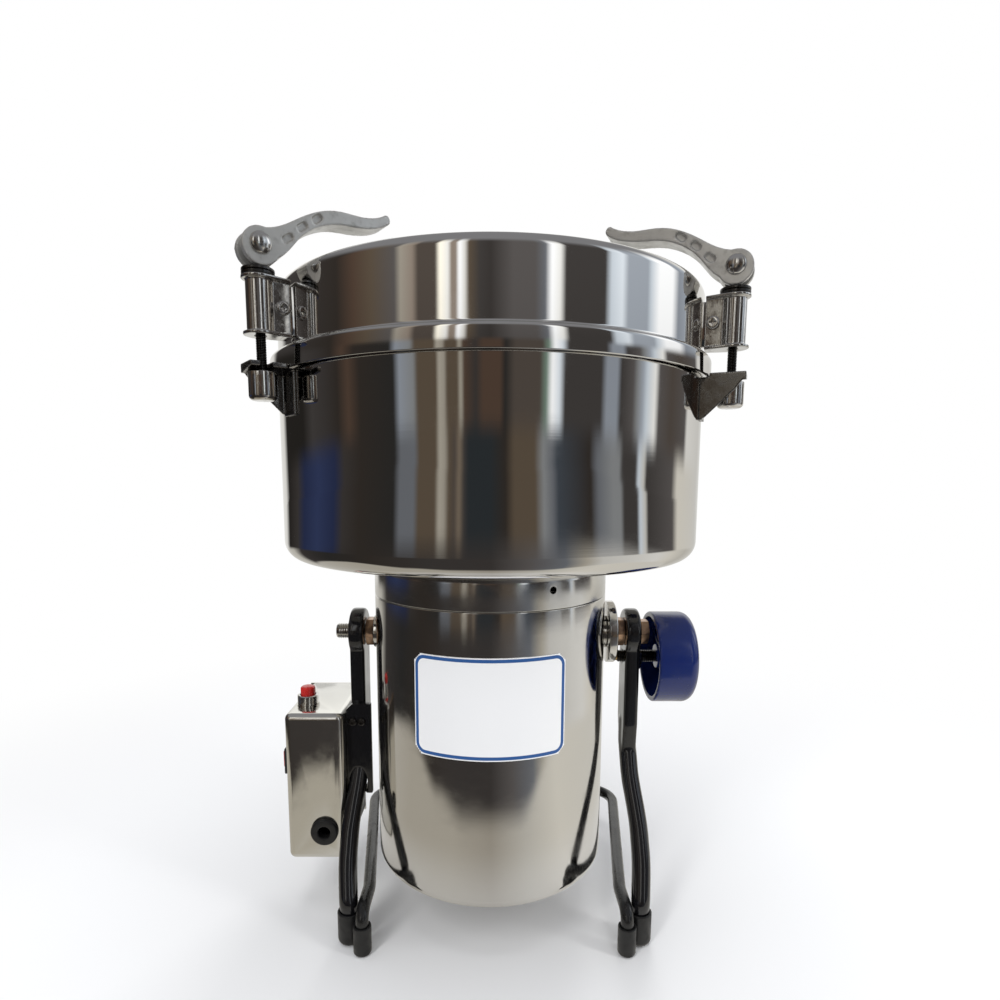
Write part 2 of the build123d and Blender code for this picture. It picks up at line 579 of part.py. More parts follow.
# Tilt lock: a knobbed screw through the right upright, with a pad that bears on the brake disc
PAD_R = 3.0
PAD_THICK = 2.5
pad_x0 = right_nut_x + GAP
pad_x1 = pad_x0 + PAD_THICK
lock_pad = rod_x(PAD_R, pad_x0, pad_x1, 0, LOCK_Z) + rod_x(1.2, pad_x1 - 0.5, pad_x1 + 2.5, 0, LOCK_Z)
nodes["lock_pad"] = lock_pad
screw_end = pad_x1 + 0.1
lock_screw = rod_x(LOCK_R, screw_end, KNOB_START + KNOB_DEPTH - 8, 0, LOCK_Z)
lock_screw -= rod_x(1.2 + RUN, screw_end - 1, screw_end + 3.5, 0, LOCK_Z)
nodes["lock_screw"] = lock_screw


def make_knob():
    end = KNOB_START + KNOB_DEPTH
    knob = rod_x(KNOB_R, KNOB_START, end, 0, LOCK_Z)
    knob = fillet(knob.edges().filter_by(GeomType.CIRCLE).group_by(Axis.X)[-1], 5)
    hollow = rod_x(KNOB_R - KNOB_WALL, KNOB_START - 1, end - 5, 0, LOCK_Z)
    knob -= fillet(hollow.edges().filter_by(GeomType.CIRCLE).group_by(Axis.X)[-1], 3)
    knob += rod_x(8, KNOB_START + 4, end - 3, 0, LOCK_Z)
    for n in range(6):
        rib = block(KNOB_START + 8, end - 4, -1.1, 1.1, 6, KNOB_R - 2)
        knob += Pos(0, 0, LOCK_Z) * Rot(60 * n, 0, 0) * rib
    return knob - rod_x(LOCK_R, KNOB_START, end - 8, 0, LOCK_Z)


nodes["lock_knob"] = make_knob()


# Control box: a folded steel case on a bracket, with a back cover
def make_box_shell():
    case = block(BOX_LEFT, BOX_RIGHT, BOX_FRONT, BOX_BACK, BOX_BOTTOM, BOX_TOP)
    case = fillet(case.edges().filter_by(Axis.Z).group_by(Axis.Y)[0], BOX_CORNER)
    case = fillet(case.faces().sort_by(Axis.Y)[0].edges().filter_by(Axis.X), BOX_CORNER - 0.5)
    inside = block(
        BOX_LEFT + BOX_WALL, BOX_RIGHT - BOX_WALL, BOX_FRONT + BOX_WALL, BOX_BACK + 1,
        BOX_BOTTOM + BOX_WALL, BOX_TOP - BOX_WALL,
    )
    inside = fillet(inside.edges().filter_by(Axis.Z).group_by(Axis.Y)[0], BOX_CORNER - BOX_WALL)
    case -= inside
    case -= Pos(RESET_X, RESET_Y, 0) * cylinder(RESET_NECK_R, BOX_TOP - 5, BOX_TOP + 1)
    case -= block(
        BOX_LEFT - 1, BOX_LEFT + 3, ROCKER_Y - SWITCH_HALF_Y, ROCKER_Y + SWITCH_HALF_Y,
        ROCKER_Z - SWITCH_HALF_Z, ROCKER_Z + SWITCH_HALF_Z,
    )
    case -= rod_y(GROMMET_R - 2.5, BOX_FRONT - 1, BOX_FRONT + 5, GROMMET_X, GROMMET_Z)
    for x, z in back_screw_spots:
        case += rod_y(3.6, BOX_BACK - 9, BOX_BACK - 1.5, x, z)
        case -= rod_y(1.5, BOX_BACK - 10, BOX_BACK, x, z)
    return case


RESET_NECK_R = 5.4
SWITCH_HALF_Y = ROCKER_LENGTH / 2 + 1.7
SWITCH_HALF_Z = ROCKER_WIDTH / 2 + 1.2
inset = 4.4
back_screw_spots = [
    (x, z)
    for x in (BOX_LEFT + inset, BOX_RIGHT - inset)
    for z in (BOX_BOTTOM + inset, BOX_TOP - inset)
]
nodes["box_shell"] = make_box_shell()

BACK_THICK = 1.5
box_back = block(BOX_LEFT, BOX_RIGHT, BOX_BACK, BOX_BACK + BACK_THICK, BOX_BOTTOM, BOX_TOP)
box_back += block(
    BOX_LEFT + 9, BOX_RIGHT - 9, BOX_BACK - 1.5, BOX_BACK + 0.5, BOX_BOTTOM + 9, BOX_TOP - 9
)
for x, z in back_screw_spots:
    box_back -= rod_y(1.5 + SEAT, BOX_BACK - 5, BOX_BACK + 5, x, z)
nodes["box_back"] = box_back

# Bracket that holds the box to the left upright
BRACKET_LOW = LEG_BEND_Z - 32.0
BRACKET_HIGH = LEG_BEND_Z + 30.0
leg_outer = LEG_LEFT_X - LEG_HALF
leg_front = -LEG_WIDTH / 2
PLATE_THICK = 4.0
PLATE_RIGHT = LEG_LEFT_X + 9.2
bracket_screw_x = (LEG_LEFT_X - 2.9, LEG_LEFT_X + 2.9)
BRACKET_SCREW_Z = LEG_BEND_Z + 18.0
plate = block(BOX_RIGHT - 2.0, PLATE_RIGHT, leg_front - PLATE_THICK, leg_front, BRACKET_LOW, BRACKET_HIGH)
plate = chamfer(plate.edges().filter_by(Axis.Y).group_by(Axis.Z)[-1].sort_by(Axis.X)[0], 6)
bracket = plate - block(BOX_RIGHT - 3, BOX_RIGHT, leg_front - PLATE_THICK - 1, 0, BRACKET_LOW - 1, BRACKET_HIGH - 3)
bracket += block(BOX_RIGHT, leg_outer, leg_front - 0.5, LEG_WIDTH / 2, BRACKET_LOW, BRACKET_HIGH - 3)
bracket -= nodes["upright_left"]
for x in bracket_screw_x:
    bracket -= rod_y(1.6 + SEAT, leg_front - PLATE_THICK - 1, leg_front + 1, x, BRACKET_SCREW_Z)
    nodes["upright_left"] -= rod_y(1.6, leg_front - 1, leg_front + 7, x, BRACKET_SCREW_Z)
nodes["box_bracket"] = bracket
case_screw = Rot(-90, 0, 0) * screw(1.5, 8.0, 2.9, 1.8)
pad_screw = Rot(90, 0, 0) * screw(1.6, PLATE_THICK + 6, 2.6, 1.8)
box_screws = [Pos(x, BOX_BACK + BACK_THICK, z) * case_screw for x, z in back_screw_spots]
box_screws += [Pos(x, leg_front - PLATE_THICK, BRACKET_SCREW_Z) * pad_screw for x in bracket_screw_x]
nodes["box_screws"] = group(box_screws)

# Overload reset on the box's top: a threaded collar with a push button, and the breaker below it
RESET_BUTTON_R = 4.9
COLLAR_NUT_R = 7.1
COLLAR_NUT_H = 5.5
reset_collar = chamfer(top_edges(cylinder(COLLAR_NUT_R, BOX_TOP, BOX_TOP + COLLAR_NUT_H)), 0.8)
reset_collar -= cylinder(RESET_NECK_R, BOX_TOP - 1, BOX_TOP + COLLAR_NUT_H + 1)
nodes["reset_collar"] = Pos(RESET_X, RESET_Y, 0) * reset_collar
button_low = BOX_TOP + RESET_TRAVEL + 0.8
reset_button = fillet(top_edges(cylinder(RESET_BUTTON_R, button_low, BOX_TOP + 11)), 1.6)
reset_button += cylinder(1.6, BOX_TOP - 14, button_low + 0.5)
nodes["reset_button"] = Pos(RESET_X, RESET_Y, 0) * reset_button
breaker = block(
    RESET_X - 7.5, RESET_X + 12, RESET_Y - 9, RESET_Y + 9, BOX_TOP - BOX_WALL - 24, BOX_TOP - BOX_WALL
)
breaker += Pos(RESET_X, RESET_Y, 0) * cylinder(RESET_NECK_R, BOX_TOP - BOX_WALL - 1, BOX_TOP)
breaker -= Pos(RESET_X, RESET_Y, 0) * cylinder(1.6 + GAP, BOX_TOP - 20, BOX_TOP + 1)
nodes["overload_breaker"] = breaker

# Rocker switch on the box's outer side
pivot_x = BOX_LEFT + 0.8
BEZEL_LIP = 2.0
BEZEL_PROUD = 1.8
key_half = ROCKER_LENGTH / 2
key_half_z = ROCKER_WIDTH / 2
window_y = key_half + 0.9
window_z = key_half_z + GAP
bezel = block(
    BOX_LEFT - BEZEL_PROUD, BOX_LEFT, ROCKER_Y - SWITCH_HALF_Y - BEZEL_LIP, ROCKER_Y + SWITCH_HALF_Y + BEZEL_LIP,
    ROCKER_Z - SWITCH_HALF_Z - BEZEL_LIP, ROCKER_Z + SWITCH_HALF_Z + BEZEL_LIP,
)
bezel = fillet(bezel.edges().filter_by(Axis.X), 1.5)
bezel += block(
    BOX_LEFT - 0.5, BOX_LEFT + 15, ROCKER_Y - SWITCH_HALF_Y, ROCKER_Y + SWITCH_HALF_Y,
    ROCKER_Z - SWITCH_HALF_Z, ROCKER_Z + SWITCH_HALF_Z,
)
bezel -= block(
    BOX_LEFT - 3, BOX_LEFT + 7, ROCKER_Y - window_y, ROCKER_Y + window_y,
    ROCKER_Z - window_z, ROCKER_Z + window_z,
)
nodes["rocker_bezel"] = bezel
key_outline = Polygon(
    (-3.0, -key_half), (-1.4, 0), (-3.0, key_half), (1.6, key_half - 0.8), (4.2, 2.0), (4.2, -2.0),
    (1.6, -key_half + 0.8), align=None,
)
rocker = Rot(0, 0, -ROCKER_TILT) * extrude(key_outline, key_half_z, both=True)
nodes["rocker_key"] = Pos(pivot_x, ROCKER_Y, ROCKER_Z) * rocker

# Cord inlet: a flanged rubber grommet in the box's front
grommet = rod_y(GROMMET_R, BOX_FRONT - 2.6, BOX_FRONT, GROMMET_X, GROMMET_Z)
grommet = fillet(grommet.edges().filter_by(GeomType.CIRCLE).group_by(Axis.Y)[0], 1.2)
grommet += rod_y(GROMMET_R - 2.5, BOX_FRONT - 0.5, BOX_FRONT + BOX_WALL + 2.0, GROMMET_X, GROMMET_Z)
grommet -= rod_y(CORD_R, BOX_FRONT - 5, BOX_FRONT + 6, GROMMET_X, GROMMET_Z)
nodes["cord_grommet"] = grommet


# Lid: a spun cap whose skirt steps out over the bowl's rim
def make_lug():
    """A flat lug welded on the lid's wall, which a clamp bracket straddles."""
    plate = block(LID_R - 1, CLAMP_R - BARREL_R - 0.5, -LUG_THICK / 2, LUG_THICK / 2, LUG_LOW, LUG_HIGH)
    return plate - cylinder(LID_R - 0.5, LUG_LOW - 1, LUG_HIGH + 1) - rod_y(SCREW_R, -9, 9, SCREW_U, SCREW_Z)


def make_lid():
    cap = fillet(top_edges(cylinder(LID_R, SKIRT_TOP - 2, LID_TOP)), LID_EDGE)
    bead = fillet(top_edges(cylinder(SKIRT_R, SKIRT_BOTTOM, SKIRT_TOP)), 2.4)
    inner = cylinder(LID_R - LID_WALL, SKIRT_BOTTOM - 1, LID_TOP - LID_WALL)
    inner = fillet(top_edges(inner), LID_EDGE - LID_WALL)
    lid = cap + bead - inner - cylinder(SKIRT_BORE, SKIRT_BOTTOM - 1, SKIRT_TOP - SKIRT_WALL)
    for turn in clamp_turns:
        lid += turned(make_lug(), turn)
    return lid


LUG_LOW = STRAP_BOTTOM + FLANGE_THICK + 0.4
LUG_HIGH = STRAP_TOP - FLANGE_THICK - 0.4
STRAP_IN = LID_R + 1.2
SCREW_R = 2.0
SCREW_U = (STRAP_IN + CLAMP_R - BARREL_R) / 2
SCREW_Z = (STRAP_TOP + STRAP_BOTTOM) / 2
clamp_turns = [CLAMP_FIRST + 360 / CLAMP_COUNT * n for n in range(CLAMP_COUNT)]
nodes["lid_shell"] = make_lid()
gasket_top = SKIRT_TOP - SKIRT_WALL
nodes["lid_gasket"] = ring(SKIRT_BORE - 0.4, LID_R - LID_WALL, BOWL_RIM + GAP, gasket_top - GAP)


# Clamps, drawn at +X with +Y the way the lid turns to open, then turned to their places
def make_bracket():
    ear_out = LUG_THICK / 2 + EAR_THICK
    solid = block(STRAP_IN, CLAMP_R, -ear_out, ear_out, STRAP_BOTTOM, STRAP_TOP)
    solid += Pos(CLAMP_R, 0, 0) * cylinder(BARREL_R, STRAP_BOTTOM, STRAP_TOP)
    flange = Pos(CLAMP_R, 0) * Circle(FLANGE_R)
    flange += Polygon(
        (STRAP_IN, -5.2), (CLAMP_R - 1, -FLANGE_R), (CLAMP_R - 1, FLANGE_R), (STRAP_IN, 5.2), align=None
    )
    for low in (STRAP_BOTTOM, STRAP_TOP - FLANGE_THICK):
        solid += Pos(0, 0, low) * extrude(flange, FLANGE_THICK)
    slot_half = LUG_THICK / 2
    solid -= block(STRAP_IN - 1, CLAMP_R - BARREL_R, -slot_half, slot_half, LUG_LOW - GAP, LUG_HIGH + GAP)
    solid -= Pos(CLAMP_R, 0, 0) * cylinder(ROD_R + GAP, STRAP_BOTTOM - 1, STRAP_TOP + 1)
    return solid - rod_y(SCREW_R, -9, 9, SCREW_U, SCREW_Z)


def make_bracket_screw(side):
    """The screw's head is on one ear and its nut on the other."""
    ear_out = LUG_THICK / 2 + EAR_THICK
    shank = rod_y(SCREW_R, -ear_out - 3.0, ear_out, SCREW_U, SCREW_Z)
    head = Pos(SCREW_U, ear_out, SCREW_Z) * Rot(-90, 0, 0) * pan_head(3.6, 2.3)
    nut = Pos(SCREW_U, -ear_out, SCREW_Z) * Rot(90, 0, 0) * extrude(RegularPolygon(3.4, 6, major_radius=False), 2.4)
    piece = shank + head + nut
    return piece if side > 0 else mirror(piece, Plane.XZ)


def make_fork():
    near = BOWL_R
    far = CLAMP_R + 8.0
    back = -FORK_WIDTH * 0.55
    mouth = FORK_WIDTH * 0.45
    under = [(back, FORK_UNDER + back * RAMP_SLOPE), (mouth, FORK_UNDER + mouth * RAMP_SLOPE)]
    deck = Polygon((back, FORK_TOP), under[0], under[1], (mouth, FORK_TOP), align=None)
    fork = Pos(near - 2, 0, 0) * extrude(Plane.YZ * deck, far - near + 2)
    low = FORK_TOP - FORK_TALL
    fork -= block(CLAMP_R - FORK_SLOT / 2, CLAMP_R + FORK_SLOT / 2, 0, mouth + 1, low, FORK_TOP + 5)
    fork -= Pos(CLAMP_R, 0, 0) * cylinder(FORK_SLOT / 2, low, FORK_TOP + 5)
    fork += block(near - 2, near + FORK_SHEET, back, mouth - 2.5, low, FORK_TOP - 1)
    web = Plane.XZ * Polygon(
        (near - 2, low + 1), (near + FORK_SHEET + 1, low + 1), (far - 5, FORK_TOP - 9), (far, FORK_TOP - 2),
        (near - 2, FORK_TOP - 2), align=None,
    )
    fork += Pos(0, back + FORK_SHEET / 2, 0) * extrude(web, FORK_SHEET / 2, both=True)
    fork -= ring(SKIRT_R + 0.5, BOWL_R - 3, SKIRT_BOTTOM - 0.5, FORK_TOP + 5)
    return fork - cylinder(BOWL_R, low - 5, FORK_TOP + 5)


def make_rod():
    rod = Pos(CLAMP_R, 0, 0) * cylinder(ROD_R, NUT_BOTTOM + 1.5, PIN_Z - 3)
    rod += rod_y(4.6, -2.8, 2.8, CLAMP_R, PIN_Z)
    return rod - rod_y(PIN_R + RUN, -5, 5, CLAMP_R, PIN_Z)


def make_nut():
    nut = fillet(bottom_edges(cylinder(NUT_R, NUT_BOTTOM, NUT_TOP)), 2.2)
    nut &= Pos(0, 0, NUT_TOP - NUT_CROWN) * Sphere(NUT_CROWN)
    return Pos(CLAMP_R, 0, 0) * (nut - cylinder(ROD_R, NUT_BOTTOM + 1.5, NUT_TOP + 1))


def make_lever():
    """The head is an eccentric cam round the pin; the arm reaches in over the lid and curls up at its tip."""
    lead = math.radians(CAM_LEAD)
    head = Pos(-CAM_THROW * math.sin(lead), -CAM_THROW * math.cos(lead)) * Circle(HEAD_R)
    upper = Spline((-3.0, 7.9), (-10.0, 10.2), (-20.0, 16.2), (-30.0, 21.4), (-40.0, 24.0), (-51.0, 24.2),
                   (-60.0, 25.2), (-68.0, 28.6))
    tip = ThreePointArc((-68.0, 28.6), (-70.6, 26.6), (-69.6, 23.8))
    lower = Spline((-69.6, 23.8), (-60.0, 19.6), (-51.0, 18.2), (-40.0, 17.2), (-30.0, 13.8), (-20.0, 6.6),
                   (-14.0, -0.6), (-5.0, -7.0))
    arm = make_face(Wire([upper, tip, lower, Line((-5.0, -7.0), (-3.0, 7.9))]))
    lever = extrude(Plane.XZ * (head + arm), LEVER_WIDTH / 2, both=True)
    recess = Rot(0, 0, -38) * SlotOverall(6.2, 3.6)
    for x, z in ((-13.5, 5.0), (-21.0, 12.0), (-29.0, 17.6)):
        pocket = extrude(Plane.XZ * Pos(x, z) * recess, 20)
        for start in (-LEVER_WIDTH / 2 - 20 + 1.5 + 20, LEVER_WIDTH / 2 - 1.5 + 20):
            lever -= Pos(0, start, 0) * pocket
    slot = LEVER_SLOT / 2
    lever -= block(-5.2, HEAD_R + 3, -slot, slot, -HEAD_R - 3, HEAD_R + 8)
    lever -= rod_y(PIN_R, -LEVER_WIDTH, LEVER_WIDTH, 0, 0)
    return Pos(CLAMP_R, 0, PIN_Z) * lever


def make_pin():
    half = LEVER_WIDTH / 2
    dome = Pos(0, half - 2.6, 0) * Sphere(PIN_DOME_R) & block(-9, 9, half, half + 9, -9, 9)
    pin = rod_y(PIN_R, -half, half) + dome + mirror(dome, Plane.XZ)
    return Pos(CLAMP_R, 0, PIN_Z) * pin


clamp_names = ["right", "rear", "left"]
screw_sides = [-1, -1, 1]
collar = Pos(CLAMP_R, 0, 0) * ring(COLLAR_R, ROD_R + GAP, STRAP_TOP, STRAP_TOP + COLLAR_HEIGHT)
collar = chamfer(top_edges(collar).sort_by(SortBy.RADIUS)[-1], 0.6)

nodes["clamp_brackets"] = group([turned(make_bracket(), turn) for turn in clamp_turns])
nodes["bracket_screws"] = group(
    [turned(make_bracket_screw(side), turn) for side, turn in zip(screw_sides, clamp_turns)]
)
nodes["clamp_collars"] = group([turned(collar, turn) for turn in clamp_turns])
nodes["lid_forks"] = group([turned(make_fork(), turn) for turn in clamp_turns])
for name, turn in zip(clamp_names, clamp_turns):
    nodes["draw_rod_" + name] = turned(make_rod(), turn)
    nodes["rod_nut_" + name] = turned(make_nut(), turn)
    nodes["cam_lever_" + name] = turned(make_lever(), turn)
    nodes["lever_pin_" + name] = turned(make_pin(), turn)

# The origin is moved to the middle of the whole object's footprint
whole = [shape.bounding_box() for shape in nodes.values()]
shift_x = -(min(b.min.X for b in whole) + max(b.max.X for b in whole)) / 2
shift_y = -(min(b.min.Y for b in whole) + max(b.max.Y for b in whole)) / 2
print("bowl axis at", round(shift_x, 3), round(shift_y, 3), "pin height", round(PIN_Z, 3))
for name, shape in nodes.items():
    export_step(Pos(shift_x, shift_y, 0) * shape, "parts/" + name + ".step")
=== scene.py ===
import math

import bmesh
import bpy
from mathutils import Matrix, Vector


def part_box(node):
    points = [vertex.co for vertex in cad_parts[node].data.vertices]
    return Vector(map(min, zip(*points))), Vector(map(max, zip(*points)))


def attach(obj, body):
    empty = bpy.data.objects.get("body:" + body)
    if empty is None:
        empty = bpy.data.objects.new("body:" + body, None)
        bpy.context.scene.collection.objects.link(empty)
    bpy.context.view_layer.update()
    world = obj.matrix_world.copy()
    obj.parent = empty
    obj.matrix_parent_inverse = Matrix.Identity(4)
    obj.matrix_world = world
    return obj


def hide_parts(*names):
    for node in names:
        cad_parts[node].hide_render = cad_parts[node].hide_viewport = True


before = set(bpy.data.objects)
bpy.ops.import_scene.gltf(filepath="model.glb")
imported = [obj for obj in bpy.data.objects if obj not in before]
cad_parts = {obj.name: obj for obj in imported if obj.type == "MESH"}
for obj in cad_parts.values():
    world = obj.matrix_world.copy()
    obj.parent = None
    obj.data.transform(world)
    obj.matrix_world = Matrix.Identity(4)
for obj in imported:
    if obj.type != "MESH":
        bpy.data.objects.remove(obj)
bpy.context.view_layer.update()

# Uprights
# Two forged steel bars with flattened eyes that carry the motor, bent forward to their feet.
# They are dipped in gloss black enamel, which runs thick and slightly wavy over the forging.
bowl_low, bowl_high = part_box("bowl")
AXIS = ((bowl_low[0] + bowl_high[0]) / 2, (bowl_low[1] + bowl_high[1]) / 2, 0.0)
MM = 0.001


def select_only(piece):
    bpy.ops.object.select_all(action="DESELECT")
    piece.select_set(True)
    bpy.context.view_layer.objects.active = piece


def primitive(kind, **settings):
    """A new mesh of a simple kind, such as a cube, which is then the only piece selected."""
    bpy.ops.object.select_all(action="DESELECT")
    getattr(bpy.ops.mesh, "primitive_" + kind + "_add")(**settings)
    return bpy.context.active_object


def apply_modifier(piece, kind, **settings):
    """Adds a modifier with these settings and applies it."""
    select_only(piece)
    made = piece.modifiers.new(kind.lower(), kind)
    for key, value in settings.items():
        setattr(made, key, value)
    bpy.ops.object.modifier_apply(modifier=made.name)


def copied(node, name):
    """A merged copy of a CAD node, in its place, with its flat triangles joined into faces."""
    bpy.ops.object.select_all(action="DESELECT")
    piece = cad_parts[node].copy()
    piece.data = piece.data.copy()
    piece.name = name
    bpy.context.scene.collection.objects.link(piece)
    select_only(piece)
    bpy.ops.object.mode_set(mode="EDIT")
    bpy.ops.mesh.select_all(action="SELECT")
    bpy.ops.mesh.remove_doubles(threshold=0.000002)
    bpy.ops.mesh.dissolve_limited(angle_limit=math.radians(0.3))
    bpy.ops.object.mode_set(mode="OBJECT")
    return piece


def cast(node, name, voxel, rounds):
    """A copy of a CAD node with the soft edges of a casting or a forging: voxel in millimetres."""
    piece = copied(node, name)
    apply_modifier(piece, "REMESH", mode="VOXEL", voxel_size=voxel * MM)
    apply_modifier(piece, "SMOOTH", factor=0.5, iterations=rounds)
    return piece


def machined(node, name, bevel, segments=2):
    """A copy of a CAD node with its sharp edges broken by a small bevel, in millimetres."""
    piece = copied(node, name)
    apply_modifier(piece, "BEVEL", width=bevel * MM, segments=segments, limit_method="ANGLE",
                   angle_limit=math.radians(35), use_clamp_overlap=True)
    return piece


def place(piece, finish, body, nodes, angle=32, turn=0.0, made_in_mm=True):
    """Puts a finished piece in its place in metres, smooths it, gives it its finish, hangs it on its body
    and hides the CAD nodes it stands for.
    """
    select_only(piece)
    if made_in_mm:
        piece.scale = (MM, MM, MM)
        piece.rotation_euler = (0, 0, math.radians(turn))
        piece.location = AXIS
    bpy.ops.object.transform_apply()
    bpy.ops.object.shade_smooth_by_angle(angle=math.radians(angle))
    piece.data.materials.clear()
    piece.data.materials.append(finish)
    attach(piece, body)
    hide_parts(*nodes)
    return piece


def place_copy(piece, finish, body, node, angle=32):
    """Places a piece made from one CAD node, which is in metres and where it belongs already."""
    return place(piece, finish, body, [node], angle, made_in_mm=False)


def finish_of(name, colour, metallic, roughness, **sockets):
    """A new finish, with what is the same all over set on the shader's own sockets."""
    made = bpy.data.materials.new(name)
    made.use_nodes = True
    shader = made.node_tree.nodes["Principled BSDF"]
    shader.inputs["Base Color"].default_value = (*colour, 1)
    shader.inputs["Metallic"].default_value = metallic
    shader.inputs["Roughness"].default_value = roughness
    for socket, value in sockets.items():
        shader.inputs[socket.replace("_", " ")].default_value = value
    return made


def add(tree, kind, inputs, **settings):
    """Adds a node; an input is a value or another node's output."""
    made = tree.nodes.new("ShaderNode" + kind)
    for key, value in settings.items():
        setattr(made, key, value)
    for key, value in inputs.items():
        if isinstance(value, bpy.types.NodeSocket):
            tree.links.new(value, made.inputs[key])
        else:
            made.inputs[key].default_value = value
    return made


def maths(tree, operation, a, b=0.0):
    return add(tree, "Math", {0: a, 1: b}, operation=operation).outputs[0]


def between(tree, value, low, high, to_low=0.0, to_high=1.0):
    """Maps a value that runs from low to high onto another range, with soft ends."""
    made = add(tree, "MapRange", {"Value": value, "From Min": low, "From Max": high, "To Min": to_low,
                                  "To Max": to_high}, interpolation_type="SMOOTHSTEP")
    return made.outputs["Result"]


def mixed_colour(tree, share, first, second):
    return add(tree, "Mix", {0: share, 6: first, 7: second}, data_type="RGBA").outputs[2]


def noise(finish, scale, detail, stretch=(1, 1, 1), roughness=0.55):
    """Noise on the piece's own coordinates, with so many features to the metre."""
    tree = finish.node_tree
    spot = add(tree, "TexCoord", {}).outputs["Object"]
    spot = add(tree, "Mapping", {"Vector": spot, "Scale": stretch}).outputs["Vector"]
    made = add(tree, "TexNoise", {"Vector": spot, "Scale": scale, "Detail": detail, "Roughness": roughness})
    return made.outputs["Fac"]


def relief(finish, height, distance):
    """Adds a bump in metres on top of the bumps that are already there."""
    tree = finish.node_tree
    shader = tree.nodes["Principled BSDF"]
    bump = add(tree, "Bump", {"Height": height, "Distance": distance, "Strength": 1.0})
    before = shader.inputs["Normal"].links
    if before:
        tree.links.new(before[0].from_socket, bump.inputs["Normal"])
    tree.links.new(bump.outputs["Normal"], shader.inputs["Normal"])


def noise_relief(finish, scale, detail, distance, **settings):
    """A bump in metres that follows noise."""
    relief(finish, noise(finish, scale, detail, **settings), distance)


def uneven_gloss(finish, scale, detail, low, high, smooth, rough, **settings):
    """Roughness that follows noise: smooth where it is below low, rough where it is above high."""
    tree = finish.node_tree
    value = noise(finish, scale, detail, **settings)
    shader = tree.nodes["Principled BSDF"]
    tree.links.new(between(tree, value, low, high, smooth, rough), shader.inputs["Roughness"])


def uneven_colour(finish, scale, detail, low, high, first, second, **settings):
    """Colour that follows noise in the same way."""
    tree = finish.node_tree
    value = noise(finish, scale, detail, **settings)
    shader = tree.nodes["Principled BSDF"]
    mixed = mixed_colour(tree, between(tree, value, low, high), (*first, 1), (*second, 1))
    tree.links.new(mixed, shader.inputs["Base Color"])


ENAMEL = (0.006, 0.006, 0.007)
WORN_ENAMEL = (0.022, 0.020, 0.019)
black_enamel = finish_of("black_enamel", ENAMEL, 0.0, 0.10, Coat_Weight=0.5, Coat_Roughness=0.04)
noise_relief(black_enamel, 300, 2, 0.00002)
noise_relief(black_enamel, 60, 2, 0.00030)
uneven_gloss(black_enamel, 70, 6, 0.45, 0.75, 0.07, 0.28, roughness=0.7)
uneven_colour(black_enamel, 90, 8, 0.60, 0.80, ENAMEL, WORN_ENAMEL, roughness=0.75)


def bowed(piece, low, high, move, reach):
    """Bends a piece: its points between two heights move by this much, and those near them follow."""
    select_only(piece)
    for point in piece.data.vertices:
        point.select = low < point.co.z < high
    bpy.ops.object.mode_set(mode="EDIT")
    bpy.ops.transform.translate(value=move, use_proportional_edit=True, proportional_edit_falloff="SMOOTH",
                                proportional_size=reach)
    bpy.ops.object.mode_set(mode="OBJECT")


# The bars bow outwards a little above the feet; heights and lengths in metres.
BOW_HEIGHTS = (0.052, 0.060)
BOW_OUT = 0.0032
BOW_REACH = 0.040
for side, outwards in (("left", -1), ("right", 1)):
    upright = cast("upright_" + side, "forged_upright_" + side, 0.75, 22)
    bowed(upright, *BOW_HEIGHTS, (outwards * BOW_OUT, 0, 0), BOW_REACH)
    place_copy(upright, black_enamel, "stand", "upright_" + side, angle=60)

# Floor bar
# One round steel bar bent in six places, which stands on capped ends in front and runs round the back.
# It is welded to the insides of the uprights and painted with them, but less thickly.
FLOOR_BAR_R = 4.0
BAR_HEIGHT = 26.5
SOLE = 3.0


def rounded(outline, radii, steps=6):
    """Replaces corners of an outline with arcs; radii gives the radius for each corner's number."""
    points = []
    for number, corner in enumerate(outline):
        radius = radii.get(number)
        if not radius:
            points.append(tuple(corner))
            continue
        here = Vector(corner)
        back = Vector(outline[number - 1]) - here
        ahead = Vector(outline[(number + 1) % len(outline)]) - here
        half = back.angle(ahead) / 2
        first = here + back.normalized() * (radius / math.tan(half))
        last = here + ahead.normalized() * (radius / math.tan(half))
        centre = here + (back.normalized() + ahead.normalized()).normalized() * (radius / math.sin(half))
        sweep = math.pi - 2 * half
        for step in range(steps + 1):
            part = sweep * step / steps
            spoke = (first - centre) * math.sin(sweep - part) + (last - centre) * math.sin(part)
            points.append(tuple(centre + spoke / math.sin(sweep)))
    return points


def bent_bar(name, route, radius, sides=10):
    """A round bar along a route of points, made as a curve and then turned into a mesh."""
    line = bpy.data.curves.new(name, "CURVE")
    line.dimensions = "3D"
    line.bevel_depth = radius
    line.bevel_resolution = sides
    line.use_fill_caps = True
    spline = line.splines.new("POLY")
    spline.points.add(len(route) - 1)
    for point, spot in zip(spline.points, route):
        point.co = (*spot, 1)
    bar = bpy.data.objects.new(name, line)
    bpy.context.scene.collection.objects.link(bar)
    select_only(bar)
    bpy.ops.object.convert(target="MESH")
    return bar


